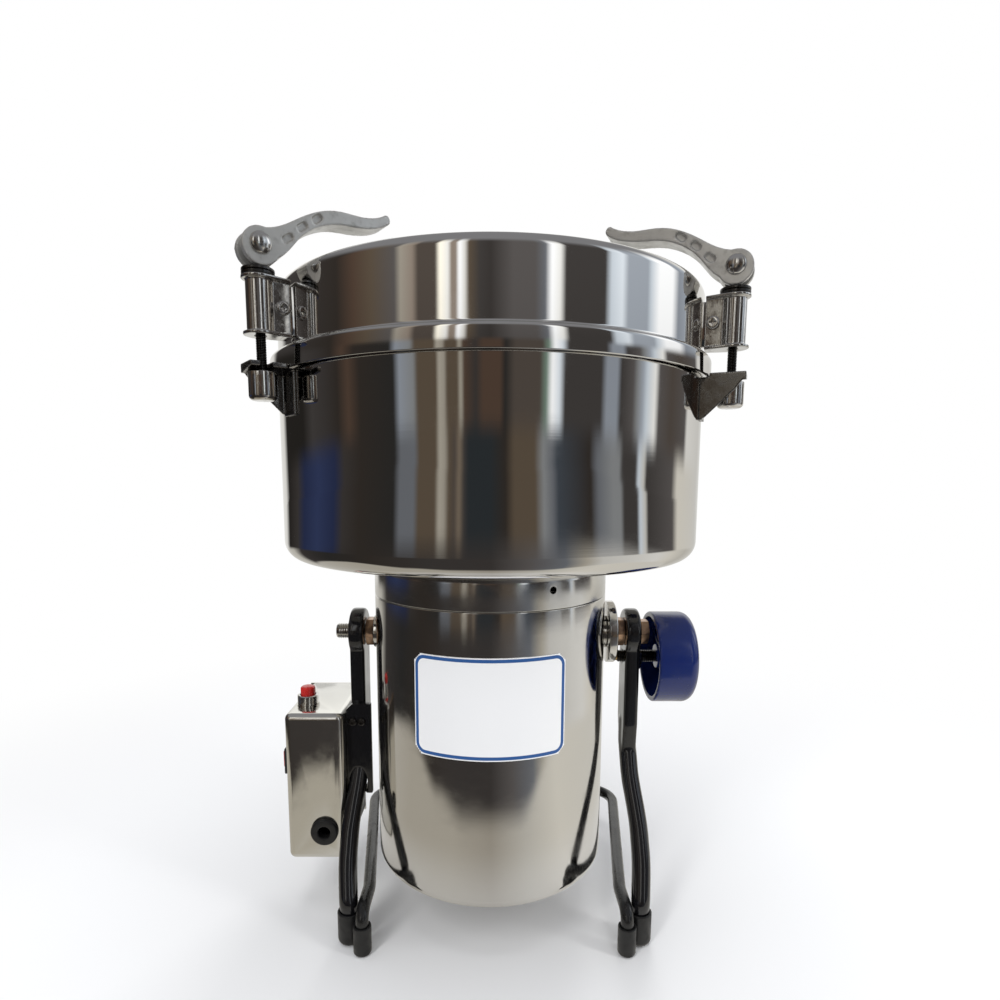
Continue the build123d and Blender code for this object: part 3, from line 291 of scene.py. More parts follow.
LEG_LEFT_X = -87.7
LEG_RIGHT_X = 94.1
FOOT_Y = -50.0
BAR_INSET = 9.8
BAR_FRONT = -61.0
BAR_BACK = 97.0
BAR_BEND = FOOT_Y + 14
BACK_WIDER = 20.0
BUFFER_INSET = 36.0
bar_left = LEG_LEFT_X + BAR_INSET
bar_right = LEG_RIGHT_X - BAR_INSET
bar_route = rounded(
    [(bar_left, BAR_FRONT, SOLE), (bar_left, BAR_FRONT, BAR_HEIGHT), (bar_left, BAR_BEND, BAR_HEIGHT),
     (bar_left - BACK_WIDER, BAR_BACK, BAR_HEIGHT), (bar_right + BACK_WIDER, BAR_BACK, BAR_HEIGHT),
     (bar_right, BAR_BEND, BAR_HEIGHT), (bar_right, BAR_FRONT, BAR_HEIGHT), (bar_right, BAR_FRONT, SOLE)],
    {1: 7, 2: 40, 3: 20, 4: 20, 5: 40, 6: 7}, steps=8,
)
bar_paint = finish_of("bar_paint", (0.009, 0.009, 0.009), 0.0, 0.24, Coat_Weight=0.2, Coat_Roughness=0.1)
noise_relief(bar_paint, 140, 2, 0.00006)
uneven_gloss(bar_paint, 120, 6, 0.4, 0.7, 0.18, 0.42, roughness=0.7)
floor_bar = bent_bar("floor_hoop", bar_route, FLOOR_BAR_R)
place(floor_bar, bar_paint, "stand", ["floor_bar"], angle=50)

# Rubber feet
# Moulded boots on the uprights' ends, slimmer caps on the floor bar's ends, and two buffers at the back.
# All are pushed on and held by their own stretch; the rubber is matt and dusty.


def one_point(name, spot):
    """A mesh of a single point, left open in edit mode to be drawn out from there."""
    piece = primitive("plane", size=1)
    piece.name = name
    bpy.ops.object.mode_set(mode="EDIT")
    bpy.ops.mesh.select_all(action="SELECT")
    bpy.ops.mesh.merge(type="CENTER")
    bpy.ops.transform.translate(value=spot)
    return piece


def on_lathe(name, outline, steps=96, middle=(0, 0)):
    """Spins a closed outline of (radius, height) points about an upright axis."""
    piece = one_point(name, (outline[0][0], 0, outline[0][1]))
    stops = list(outline) + [outline[0]]
    for (radius, height), (next_radius, next_height) in zip(stops, stops[1:]):
        move = (next_radius - radius, 0, next_height - height)
        bpy.ops.mesh.extrude_region_move(TRANSFORM_OT_translate={"value": move})
    bpy.ops.mesh.select_all(action="SELECT")
    bpy.ops.mesh.remove_doubles(threshold=0.0005)
    bpy.ops.mesh.spin(steps=steps, angle=2 * math.pi, center=(0, 0, 0), axis=(0, 0, 1))
    bpy.ops.mesh.select_all(action="SELECT")
    bpy.ops.mesh.remove_doubles(threshold=0.0005)
    bpy.ops.mesh.normals_make_consistent(inside=False)
    bpy.ops.object.mode_set(mode="OBJECT")
    piece.location = (middle[0], middle[1], 0)
    bpy.ops.object.transform_apply()
    return piece


def joined(pieces, name):
    """Several pieces of one kind as one object."""
    bpy.ops.object.select_all(action="DESELECT")
    for piece in pieces:
        piece.select_set(True)
    bpy.context.view_layer.objects.active = pieces[0]
    bpy.ops.object.join()
    pieces[0].name = name
    return pieces[0]


boot_rubber = finish_of("boot_rubber", (0.010, 0.010, 0.010), 0.0, 0.42)
noise_relief(boot_rubber, 900, 3, 0.00002)
uneven_gloss(boot_rubber, 150, 5, 0.35, 0.7, 0.30, 0.62)
uneven_colour(boot_rubber, 110, 7, 0.55, 0.8, (0.010, 0.010, 0.010), (0.036, 0.034, 0.031), roughness=0.7)

BOOT_R = 7.6
BOOT_TOP = 21.0
CAP_R = 5.6
CAP_TOP = 18.5
BUFFER_R = 8.0
BUFFER_TOP = 24.0
RUBBER_FLOOR = 4.0
boot = rounded(
    [(0, 0), (BOOT_R, 0), (BOOT_R, BOOT_TOP), (6.3, BOOT_TOP), (6.1, RUBBER_FLOOR), (0, RUBBER_FLOOR)],
    {1: 3.6, 2: 0.9, 3: 0.3}, steps=9,
)
cap = rounded(
    [(0, 0), (CAP_R, 0), (CAP_R, CAP_TOP), (4.25, CAP_TOP), (4.05, RUBBER_FLOOR), (0, RUBBER_FLOOR)],
    {1: 2.4, 2: 0.6, 3: 0.4}, steps=8,
)
buffer = rounded([(0, 0), (BUFFER_R, 0), (BUFFER_R, BUFFER_TOP), (0, BUFFER_TOP)], {1: 2.2, 2: 1.4})
feet = [on_lathe("boot", boot, 48, (x, FOOT_Y)) for x in (LEG_LEFT_X, LEG_RIGHT_X)]
feet += [on_lathe("cap", cap, 40, (x, BAR_FRONT)) for x in (bar_left, bar_right)]
for x in (bar_left - BACK_WIDER + BUFFER_INSET, bar_right + BACK_WIDER - BUFFER_INSET):
    feet.append(on_lathe("buffer", buffer, 48, (x, BAR_BACK)))
place(joined(feet, "rubber_boots"), boot_rubber, "stand", ["rubber_feet"])

# Motor housing
# A deep-drawn can of stainless sheet, polished bright on a buffing wheel as it turns.
# Bosses for the trunnions are pressed out of its sides, and its foot is rolled in to a lip.
HOUSING_R = 75.4
HOUSING_LOW = 37.5
HOUSING_HIGH = 216.0
HOUSING_BORE = 73.9
SWING_Z = 188.0


def length_of(tree, a, b):
    """The length of a flat vector whose two parts are a and b."""
    squares = maths(tree, "ADD", maths(tree, "MULTIPLY", a, a), maths(tree, "MULTIPLY", b, b))
    return maths(tree, "SQRT", squares)


def about_axis(finish):
    """The angle about the bowl's axis, zero in front, with the radius and the height in metres."""
    tree = finish.node_tree
    spot = add(tree, "TexCoord", {}).outputs["Object"]
    spot = add(tree, "Mapping", {"Vector": spot, "Location": (-AXIS[0], -AXIS[1], 0)}).outputs["Vector"]
    parts = add(tree, "SeparateXYZ", {"Vector": spot})
    x, y, z = parts.outputs
    angle = maths(tree, "ARCTAN2", x, maths(tree, "MULTIPLY", y, -1.0))
    return angle, length_of(tree, x, y), z


def spun_marks(finish, lengthwise, across, distance, detail=4.0):
    """The fine rings that a buffing wheel leaves on a turning piece."""
    tree = finish.node_tree
    angle, radius, z = about_axis(finish)
    spot = add(tree, "CombineXYZ", {"X": maths(tree, "MULTIPLY", angle, lengthwise),
                                    "Y": maths(tree, "MULTIPLY", radius, across),
                                    "Z": maths(tree, "MULTIPLY", z, across)}).outputs["Vector"]
    made = add(tree, "TexNoise", {"Vector": spot, "Scale": 1.0, "Detail": detail, "Roughness": 0.6})
    relief(finish, made.outputs["Fac"], distance)
    return made.outputs["Fac"]


def bright_steel(name, colour, smooth, rough, marks, wobble):
    """Mirror-polished stainless steel: buffing rings, a slow wobble of the sheet and faint wiping smears."""
    made = finish_of(name, colour, 1.0, smooth, Anisotropic=0.6, Anisotropic_Rotation=0.25)
    noise_relief(made, 22, 2, wobble, stretch=(1, 1, 0.12))
    spun_marks(made, 3.0, 1900, marks)
    spun_marks(made, 1.2, 260, marks * 2.2, 2.0)
    uneven_gloss(made, 38, 7, 0.38, 0.72, smooth, rough, stretch=(1, 1, 1.8), roughness=0.65)
    return made


housing_steel = bright_steel("housing_steel", (0.74, 0.73, 0.71), 0.07, 0.15, 0.0000022, 0.00012)
housing_outline = rounded(
    [(57, HOUSING_LOW), (HOUSING_R, HOUSING_LOW), (HOUSING_R, HOUSING_HIGH), (HOUSING_BORE, HOUSING_HIGH),
     (HOUSING_BORE, 39), (57, 39)],
    {1: 7, 2: 0.6, 4: 5.5}, steps=8,
)
housing_parts = [on_lathe("housing", housing_outline, 192)]
for side in (-1, 1):
    boss = primitive("cylinder", vertices=64, radius=11, depth=9.0, location=(side * 72.7, 0, SWING_Z),
                     rotation=(0, math.radians(90), 0))
    apply_modifier(boss, "BEVEL", width=0.9, segments=4, limit_method="ANGLE")
    housing_parts.append(boss)
place(joined(housing_parts, "drawn_housing"), housing_steel, "pot", ["motor_housing"])

# Motor inside the housing
# A laminated stator with its field coils, brush gear on the lower bracket, and the bearings' steel.
# The pieces are bought in, pressed or screwed in place, and seen only when the base cover is off.


def bands(finish, direction, scale, distortion):
    """Parallel bands that follow one another along a direction."""
    tree = finish.node_tree
    spot = add(tree, "TexCoord", {}).outputs["Object"]
    inputs = {"Vector": spot, "Scale": scale, "Distortion": distortion}
    return add(tree, "TexWave", inputs, bands_direction=direction).outputs["Fac"]


stacked_steel = finish_of("stacked_steel", (0.22, 0.22, 0.24), 0.9, 0.42)
relief(stacked_steel, bands(stacked_steel, "Z", 620.0, 0.2), 0.00008)
uneven_colour(stacked_steel, 60, 4, 0.4, 0.7, (0.20, 0.20, 0.22), (0.30, 0.26, 0.22))

winding_wire = finish_of("winding_wire", (0.46, 0.20, 0.08), 0.75, 0.3, Coat_Weight=0.5)
relief(winding_wire, bands(winding_wire, "Y", 260.0, 1.2), 0.0003)
uneven_colour(winding_wire, 80, 4, 0.4, 0.7, (0.40, 0.16, 0.06), (0.55, 0.27, 0.12))

plain_steel = finish_of("plain_steel", (0.60, 0.59, 0.57), 1.0, 0.28)
noise_relief(plain_steel, 1200, 2, 0.000006, stretch=(1, 1, 0.2))
uneven_gloss(plain_steel, 90, 6, 0.4, 0.7, 0.2, 0.4)

cast_alloy = finish_of("cast_alloy", (0.56, 0.56, 0.55), 1.0, 0.45)
noise_relief(cast_alloy, 500, 5, 0.00006)
uneven_gloss(cast_alloy, 70, 5, 0.35, 0.7, 0.36, 0.6)

dark_plastic = finish_of("dark_plastic", (0.020, 0.020, 0.021), 0.0, 0.42)
noise_relief(dark_plastic, 1500, 2, 0.000012)
uneven_gloss(dark_plastic, 120, 5, 0.4, 0.7, 0.32, 0.55)

bar_brass = finish_of("bar_brass", (0.62, 0.42, 0.19), 1.0, 0.28)
noise_relief(bar_brass, 700, 3, 0.00001)
uneven_colour(bar_brass, 120, 6, 0.4, 0.75, (0.62, 0.42, 0.19), (0.42, 0.27, 0.13))

kept = {"stator_core": stacked_steel, "armature": stacked_steel, "field_coils": winding_wire,
        "commutator": winding_wire, "shaft_bearings": plain_steel, "rotor_shaft": plain_steel,
        "lower_bracket": cast_alloy, "brush_holders": bar_brass, "cooling_fan": dark_plastic,
        "overload_breaker": dark_plastic, "lock_pad": bar_brass}
for name, finish in kept.items():
    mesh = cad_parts[name].data
    mesh.materials.clear()
    mesh.materials.append(finish)

# Base cover
# A pressed steel plate with three rings of slots, which lets the fan's air in.
# It lies inside the housing's lip on four pan-head screws.
base_plate = machined("base_cover", "vented_base", 0.25)
place_copy(base_plate, plain_steel, "pot", "base_cover")
screw_steel = finish_of("screw_steel", (0.66, 0.65, 0.63), 1.0, 0.16)
noise_relief(screw_steel, 1500, 3, 0.000008)
uneven_gloss(screw_steel, 260, 5, 0.4, 0.7, 0.1, 0.3)
for node in ("base_screws", "bowl_screws", "bracket_screws"):
    body = "lid" if node == "bracket_screws" else "pot"
    place_copy(machined(node, "pan_" + node, 0.12), screw_steel, body, node)

# Neck casting
# A turned alloy collar that closes the housing and carries the bowl, with one small drain hole in front.
# The lathe leaves it a shade duller than the buffed steel above and below.
NECK_TOP = 236.5
NECK_FOOT = HOUSING_HIGH + 0.15
SPIGOT_R = 73.7
DRAIN_AT = -62.0
DRAIN_R = 2.2
DRAIN_Z = 227.3
turned_alloy = bright_steel("turned_alloy", (0.70, 0.695, 0.68), 0.13, 0.24, 0.0000035, 0.00004)
neck_outline = rounded(
    [(8.5, NECK_TOP), (HOUSING_R, NECK_TOP), (HOUSING_R, NECK_FOOT), (SPIGOT_R, NECK_FOOT), (SPIGOT_R, 207),
     (66.4, 207), (66.4, 229), (24, 229), (24, 212), (16, 212), (16, 225), (8.5, 225)],
    {1: 5, 2: 0.7},
)
neck = on_lathe("neck_collar", neck_outline, 192)
drain_turn = math.radians(DRAIN_AT)
drain_spot = (76 * math.cos(drain_turn), 76 * math.sin(drain_turn), DRAIN_Z)
drill = primitive("cylinder", vertices=32, radius=DRAIN_R, depth=20, location=drain_spot,
                  rotation=(0, math.radians(90), drain_turn))
apply_modifier(neck, "BOOLEAN", operation="DIFFERENCE", object=drill, solver="EXACT")
bpy.data.objects.remove(drill)
place(neck, turned_alloy, "pot", ["neck_casting"])

# Trunnions and brake disc
# Threaded steel studs come out through the bosses and turn in the uprights' eyes, with hex nuts beside them.
# The nuts are yellow-plated and look coppery; the right stud also carries a turned, polished brake disc.


def threaded(low, high, radius, pitch, start=0.0):
    """The outline of a bar from low to high, with its thread drawn as rings from the height start."""
    outline = [(0, low), (radius - 1.0, low), (radius, low + 1.0)]
    height = max(start, low + 1.0)
    while height + pitch < high - 0.6:
        outline.append((radius, height + pitch * 0.3))
        outline.append((radius - pitch * 0.42, height + pitch * 0.65))
        height += pitch
        outline.append((radius, height))
    return outline + [(radius - 0.6, high), (0, high)]


def along_x(piece, x, z, side=1):
    """Lays a piece that stands on the z axis along X, with its foot at x and its axis at height z."""
    select_only(piece)
    piece.rotation_euler = (0, math.radians(90 * side), 0)
    piece.location = (x, 0, z)
    bpy.ops.object.transform_apply()
    return piece


def hexagon_nut(name, flats, depth, bevel=0.9):
    """A hexagonal nut standing on z = 0, its corners turned off."""
    corner_r = flats / math.cos(math.radians(30)) / 2
    hexagon = primitive("cylinder", vertices=6, radius=corner_r, depth=depth, location=(0, 0, depth / 2))
    hexagon.name = name
    bpy.ops.object.transform_apply()
    outer = corner_r + 0.1
    corner = rounded([(0, 0), (outer, 0), (outer, depth), (0, depth)], {1: bevel, 2: bevel}, 3)
    cone = on_lathe("cone", corner, 60)
    apply_modifier(hexagon, "BOOLEAN", operation="INTERSECT", object=cone, solver="EXACT")
    bpy.data.objects.remove(cone)
    apply_modifier(hexagon, "BEVEL", width=0.15, segments=1, limit_method="ANGLE",
                   angle_limit=math.radians(40))
    return hexagon


plated_steel = finish_of("plated_steel", (0.72, 0.71, 0.69), 1.0, 0.12)
noise_relief(plated_steel, 160, 3, 0.00002)
uneven_gloss(plated_steel, 240, 6, 0.4, 0.7, 0.07, 0.26, roughness=0.7)
uneven_colour(plated_steel, 150, 6, 0.5, 0.8, (0.72, 0.71, 0.69), (0.50, 0.46, 0.40))
EYE_INNER = 77.2
studs = [
    along_x(on_lathe("stud", threaded(0, 37.3, 5.0, 1.5, 24.0), 48), -65.0, SWING_Z, -1),
    along_x(on_lathe("stud", threaded(0, 38.2, 5.0, 1.5, 14.0), 48), 68.0, SWING_Z),
]
place(joined(studs, "trunnion_pair"), plated_steel, "pot", ["trunnion_studs"])

DISC_R = 20.5
disc_outline = rounded(
    [(5, 0), (DISC_R, 0), (DISC_R, 5.2), (16.5, 5.2), (16.0, 4.7), (5, 4.7)], {1: 0.5, 2: 0.9, 3: 0.3},
)
disc = along_x(on_lathe("brake", disc_outline, 96), EYE_INNER, SWING_Z)
place(disc, plated_steel, "pot", ["brake_disc"])

yellow_plate = finish_of("yellow_plate", (0.52, 0.33, 0.22), 1.0, 0.28)
noise_relief(yellow_plate, 500, 4, 0.00002)
uneven_colour(yellow_plate, 170, 6, 0.38, 0.7, (0.56, 0.37, 0.24), (0.30, 0.20, 0.15))
nuts = [
    along_x(hexagon_nut("nut", 17, 5.0), -EYE_INNER, SWING_Z, -1),
    along_x(hexagon_nut("nut", 17, 6.6), 82.4, SWING_Z),
    along_x(hexagon_nut("nut", 15, 6.0), 99.2, SWING_Z),
]
place(joined(nuts, "trunnion_hex_nuts"), yellow_plate, "pot", ["trunnion_nuts"])

# Tilt lock
# A blackened screw runs through the right upright and presses a brass pad on the brake disc.
# Its handwheel is a hollow moulding in glossy dark blue plastic with six ribs inside.
LOCK_Z = 171.0
KNOB_START = 107.3
KNOB_R = 30.0
KNOB_DEPTH = 26.0
RIB_MIDDLE = 17.0
black_oxide = finish_of("black_oxide", (0.085, 0.082, 0.080), 1.0, 0.30)
noise_relief(black_oxide, 420, 4, 0.00002)
uneven_gloss(black_oxide, 200, 6, 0.4, 0.7, 0.2, 0.45)
lock_screw = along_x(on_lathe("lock_thread", threaded(0, 40.0, 4.0, 1.25), 40), 85.3, LOCK_Z)
place(lock_screw, black_oxide, "lock_hand", ["lock_screw"])

KNOB_BLUE = (0.007, 0.018, 0.110)
blue_plastic = finish_of("blue_plastic", KNOB_BLUE, 0.0, 0.16, Coat_Weight=0.3, Coat_Roughness=0.06)
noise_relief(blue_plastic, 60, 3, 0.0001)
uneven_gloss(blue_plastic, 130, 6, 0.4, 0.7, 0.12, 0.3)
wheel_outline = rounded(
    [(0, KNOB_DEPTH), (KNOB_R, KNOB_DEPTH), (KNOB_R, 0), (26.6, 0), (26.6, 21), (8, 21), (8, 4), (4.05, 4),
     (4.05, 18), (0, 18)],
    {1: 6.5, 2: 1.2, 3: 0.6, 4: 3.0, 5: 1.5, 6: 0.5}, steps=7,
)
wheel_parts = [on_lathe("handwheel", wheel_outline, 120)]
for number in range(6):
    rib = primitive("cube", size=1, location=(RIB_MIDDLE, 0, 15), scale=(20.6, 2.2, 14))
    apply_modifier(rib, "BEVEL", width=0.5, segments=3)
    turn = math.radians(60 * number)
    rib.rotation_euler = (0, 0, turn)
    rib.location = (RIB_MIDDLE * math.cos(turn), RIB_MIDDLE * math.sin(turn), 15)
    bpy.ops.object.transform_apply()
    wheel_parts.append(rib)
handwheel = along_x(joined(wheel_parts, "blue_handwheel"), KNOB_START, LOCK_Z)
place(handwheel, blue_plastic, "lock_hand", ["lock_knob"])

# Name plate
# A thin aluminium sheet bent to the housing and glued on, left bare but for its enamelled blue outline.
# The sheet is rolled from one end, so it is spun here as a strip and then cut to its rounded shape.
LABEL_MID = 160.5
LABEL_HALF = (46.0, 30.0)
PLATE_R = HOUSING_R + 0.5
PLATE_CORNER = 7.0
EDGE_TURN = LABEL_HALF[0] / HOUSING_R
PLATE_ROWS = 60
row_move = (0, 0, 2 * LABEL_HALF[1] / PLATE_ROWS)
start = (PLATE_R * math.sin(-EDGE_TURN), -PLATE_R * math.cos(EDGE_TURN), LABEL_MID - LABEL_HALF[1])
plate = one_point("bare_name_plate", start)
for step in range(PLATE_ROWS):
    bpy.ops.mesh.extrude_region_move(TRANSFORM_OT_translate={"value": row_move})
bpy.ops.mesh.select_all(action="SELECT")
bpy.ops.mesh.spin(steps=92, angle=-2 * EDGE_TURN, center=(0, 0, 0), axis=(0, 0, 1))
sheet = bmesh.from_edit_mesh(plate.data)
for face in sheet.faces:
    middle = face.calc_center_median()
    along = abs(math.atan2(middle.x, -middle.y)) * HOUSING_R - LABEL_HALF[0] + PLATE_CORNER
    upward = abs(middle.z - LABEL_MID) - LABEL_HALF[1] + PLATE_CORNER
    face.select = along > 0 and upward > 0 and math.hypot(along, upward) > PLATE_CORNER
bmesh.update_edit_mesh(plate.data)
bpy.ops.mesh.delete(type="FACE")
bpy.ops.mesh.select_all(action="SELECT")
bpy.ops.mesh.normals_make_consistent(inside=False)
bpy.ops.object.mode_set(mode="OBJECT")
out_test = plate.data.polygons[0]
if out_test.normal.dot(Vector((out_test.center.x, out_test.center.y, 0))) < 0:
    select_only(plate)
    bpy.ops.object.mode_set(mode="EDIT")
    bpy.ops.mesh.select_all(action="SELECT")
    bpy.ops.mesh.flip_normals()
    bpy.ops.object.mode_set(mode="OBJECT")
apply_modifier(plate, "SOLIDIFY", thickness=0.48, offset=-1.0)

# The outline's two sides lie this far inside the plate's edge, and each fades over twice the fade.
OUTLINE_INNER = -2.65
OUTLINE_OUTER = -0.65
OUTLINE_FADE = 0.1
OUTLINE_BLUE = (0.020, 0.095, 0.300)
PLATE_WHITE = (0.95, 0.95, 0.95)
PLATE_METALLIC = 0.10
plate_sheet = finish_of("plate_sheet", PLATE_WHITE, PLATE_METALLIC, 0.38)
tree = plate_sheet.node_tree
angle, radius, height = about_axis(plate_sheet)
along = maths(tree, "MULTIPLY", maths(tree, "ABSOLUTE", angle), HOUSING_R)
along = maths(tree, "SUBTRACT", along, LABEL_HALF[0] - PLATE_CORNER)
upward = maths(tree, "MULTIPLY", maths(tree, "SUBTRACT", height, LABEL_MID * MM), 1000.0)
upward = maths(tree, "SUBTRACT", maths(tree, "ABSOLUTE", upward), LABEL_HALF[1] - PLATE_CORNER)
corner = length_of(tree, maths(tree, "MAXIMUM", along, 0.0), maths(tree, "MAXIMUM", upward, 0.0))
inside = maths(tree, "MINIMUM", maths(tree, "MAXIMUM", along, upward), 0.0)
from_edge = maths(tree, "SUBTRACT", maths(tree, "ADD", corner, inside), PLATE_CORNER)
past_inner = between(tree, from_edge, OUTLINE_INNER - OUTLINE_FADE, OUTLINE_INNER + OUTLINE_FADE)
past_outer = between(tree, from_edge, OUTLINE_OUTER - OUTLINE_FADE, OUTLINE_OUTER + OUTLINE_FADE, 1, 0)
line = maths(tree, "MULTIPLY", past_inner, past_outer)
shader = tree.nodes["Principled BSDF"]
tree.links.new(mixed_colour(tree, line, (*PLATE_WHITE, 1), (*OUTLINE_BLUE, 1)), shader.inputs["Base Color"])
bare = maths(tree, "SUBTRACT", PLATE_METALLIC, maths(tree, "MULTIPLY", line, PLATE_METALLIC))
tree.links.new(bare, shader.inputs["Metallic"])
noise_relief(plate_sheet, 30, 2, 0.00012)
relief(plate_sheet, line, 0.00004)
uneven_gloss(plate_sheet, 70, 3, 0.4, 0.7, 0.32, 0.42)
place(plate, plate_sheet, "pot", ["label_plate"])

# Bowl
# One spun cup of stainless sheet with a rolled rim, buffed bright inside and out as it turns.
# It sits on a rubber gasket on the neck, held by four screws; a flanged bush seals the shaft's hole.
BOWL_R = 128.8
BOWL_LOW = 241.5
BOWL_RIM = 349.5
BOWL_BORE = 14.0
SHEET = 1.6
RIM_R = 130.8
GASKET_R = 62.0
gasket_outline = rounded(
    [(BOWL_BORE, NECK_TOP), (GASKET_R, NECK_TOP), (GASKET_R, BOWL_LOW), (BOWL_BORE, BOWL_LOW)],
    {1: 0.8, 2: 0.8},
)
place(on_lathe("neck_gasket", gasket_outline, 128), boot_rubber, "pot", ["bowl_gasket"])

bowl_steel = bright_steel("bowl_steel", (0.74, 0.73, 0.71), 0.030, 0.075, 0.0000020, 0.00007)
bowl_outline = rounded(
    [(BOWL_BORE, BOWL_LOW), (BOWL_R, BOWL_LOW), (BOWL_R, 347.3), (RIM_R, 347.3), (RIM_R, BOWL_RIM),
     (BOWL_R - SHEET, BOWL_RIM), (BOWL_R - SHEET, BOWL_LOW + SHEET), (BOWL_BORE, BOWL_LOW + SHEET)],
    {1: 11, 2: 0.6, 3: 1.0, 4: 1.0, 5: 0.6, 6: 9.4}, steps=9,
)
place(on_lathe("spun_bowl", bowl_outline, 256), bowl_steel, "pot", ["bowl"])

seal_plastic = finish_of("seal_plastic", (0.62, 0.60, 0.54), 0.0, 0.5, Subsurface_Weight=0.05)
noise_relief(seal_plastic, 700, 3, 0.00002)
uneven_colour(seal_plastic, 90, 6, 0.4, 0.75, (0.62, 0.60, 0.54), (0.48, 0.45, 0.38))
BUSH_BORE = 6.3
BUSH_R = 13.9
BUSH_TOP = 245.7
bush_outline = rounded(
    [(BUSH_BORE, NECK_TOP), (BUSH_R, NECK_TOP), (BUSH_R, 243.15), (20, 243.15), (20, BUSH_TOP),
     (BUSH_BORE, BUSH_TOP)],
    {3: 0.4, 4: 1.3, 5: 0.4},
)
place(on_lathe("shaft_bush", bush_outline, 96), seal_plastic, "pot", ["shaft_seal"])

# Blades
# Two ground stainless bars, the upper one with its tips bent up, clamped by a spacer and a domed nut.
# They are laser cut, their leading edges are ground, and the flats keep the mill's straight grain.
blade_steel = finish_of("blade_steel", (0.63, 0.62, 0.60), 1.0, 0.24, Anisotropic=0.3)
noise_relief(blade_steel, 1, 4, 0.000006, stretch=(60, 2600, 2600))
uneven_gloss(blade_steel, 80, 6, 0.4, 0.7, 0.16, 0.34)
blade_stack = {"lower_blade": "flat_blade", "upper_blade": "bent_blade", "blade_spacer": "spacer_sleeve",
               "blade_nut": "domed_nut"}
for node, name in blade_stack.items():
    place_copy(machined(node, name, 0.2), blade_steel, "rotor", node)

# Lid forks
# Three bent and welded ears of stainless strip on the bowl's rim. Each is open on one side and ramped
# below, so that a clamp's nut slides in and wedges as the lid is turned.
bright_strip = finish_of("bright_strip", (0.62, 0.61, 0.59), 1.0, 0.10)
noise_relief(bright_strip, 90, 3, 0.00006)
noise_relief(bright_strip, 900, 4, 0.000004)
uneven_gloss(bright_strip, 180, 6, 0.4, 0.7, 0.07, 0.24, roughness=0.7)
# The forks are the same stainless strip. Their finish is made darker to paint in the shade and dark
# reflections on them.
fork_steel_painted_shade = finish_of("fork_steel_painted_shade", (0.26, 0.255, 0.25), 1.0, 0.20)
noise_relief(fork_steel_painted_shade, 90, 3, 0.00006)
uneven_gloss(fork_steel_painted_shade, 180, 6, 0.4, 0.7, 0.14, 0.32, roughness=0.7)
forks = cast("lid_forks", "ramped_forks", 0.42, 3)
place_copy(forks, fork_steel_painted_shade, "pot", "lid_forks", angle=50)

# Lid
# A second spun shell, whose skirt steps out over the bowl's rim; a pale silicone ring sits in the step.
# Three lugs are spot welded to its wall for the clamps, and the whole is buffed like the bowl.
LID_R = 128.2
LID_TOP = 396.0
SKIRT_LOW = 345.0
SKIRT_R = 133.1
LID_BORE = 126.7
SEAL_R = 131.1
SEAL_LOW = 349.8
SEAL_HIGH = 355.1
ring_outline = rounded(
    [(LID_BORE, SEAL_LOW), (SEAL_R, SEAL_LOW), (SEAL_R, SEAL_HIGH), (LID_BORE, SEAL_HIGH)],
    {0: 0.6, 1: 0.6, 2: 0.6, 3: 0.6},
)
place(on_lathe("silicone_ring", ring_outline, 192), seal_plastic, "lid_seal", ["lid_gasket"])

lid_outline = rounded(
    [(0, LID_TOP), (118, LID_TOP), (LID_R, LID_TOP), (LID_R, 357), (SKIRT_R, 357), (SKIRT_R, SKIRT_LOW),
     (131.5, SKIRT_LOW), (131.5, 355.4), (LID_BORE, 355.4), (LID_BORE, 394.5), (0, 394.5)],
    {2: 6, 3: 1.6, 4: 2.6, 5: 0.5, 6: 0.5, 7: 0.6, 9: 4.5}, steps=8,
)
lid_steel = bright_steel("lid_steel", (0.74, 0.73, 0.71), 0.030, 0.070, 0.0000019, 0.00007)
lid_parts = [on_lathe("lid_cap", lid_outline, 256)]
CLAMP_TURNS = {"right": -23.1, "rear": 96.9, "left": 216.9}
CLAMP_R = 144.1
STRAP_LOW = 359.7
STRAP_HIGH = 388.0
LUG_R = 132.3
LUG_SIZE = (9.4, 3.0, 24.0)
for turn in CLAMP_TURNS.values():
    lug = primitive("cube", size=1, location=(LUG_R, 0, (STRAP_LOW + STRAP_HIGH) / 2), scale=LUG_SIZE)
    bpy.ops.object.transform_apply()
    apply_modifier(lug, "BEVEL", width=0.35, segments=2)
    lug.rotation_euler = (0, 0, math.radians(turn))
    bpy.ops.object.transform_apply()
    lid_parts.append(lug)
place(joined(lid_parts, "spun_lid"), lid_steel, "lid", ["lid_shell"])

# Lid clamps
# Each is a polished strap round a barrel, a dark collar on top, and a draw rod through both with a tall nut
# below. A die-cast cam lever on a domed cross pin pulls the rod up as it is pressed down.
straps = cast("clamp_brackets", "clamp_straps", 0.36, 3)
place_copy(straps, bright_strip, "lid", "clamp_brackets", angle=50)
COLLAR_R = 8.0
COLLAR_BORE = 2.9
COLLAR_HEIGHT = 3.6
collar_outline = rounded(
    [(COLLAR_BORE, 0), (COLLAR_R, 0), (COLLAR_R, 1.5), (7.5, 1.9), (COLLAR_R, 2.3),
     (COLLAR_R, COLLAR_HEIGHT), (COLLAR_BORE, COLLAR_HEIGHT)],
    {1: 0.3, 5: 0.7},
)
collar_outline = [(radius, height + STRAP_HIGH) for radius, height in collar_outline]
collars = []
for turn in CLAMP_TURNS.values():
    spot = (CLAMP_R * math.cos(math.radians(turn)), CLAMP_R * math.sin(math.radians(turn)))
    collars.append(on_lathe("collar", collar_outline, 64, spot))
place(joined(collars, "pressure_collars"), black_oxide, "lid", ["clamp_collars"])

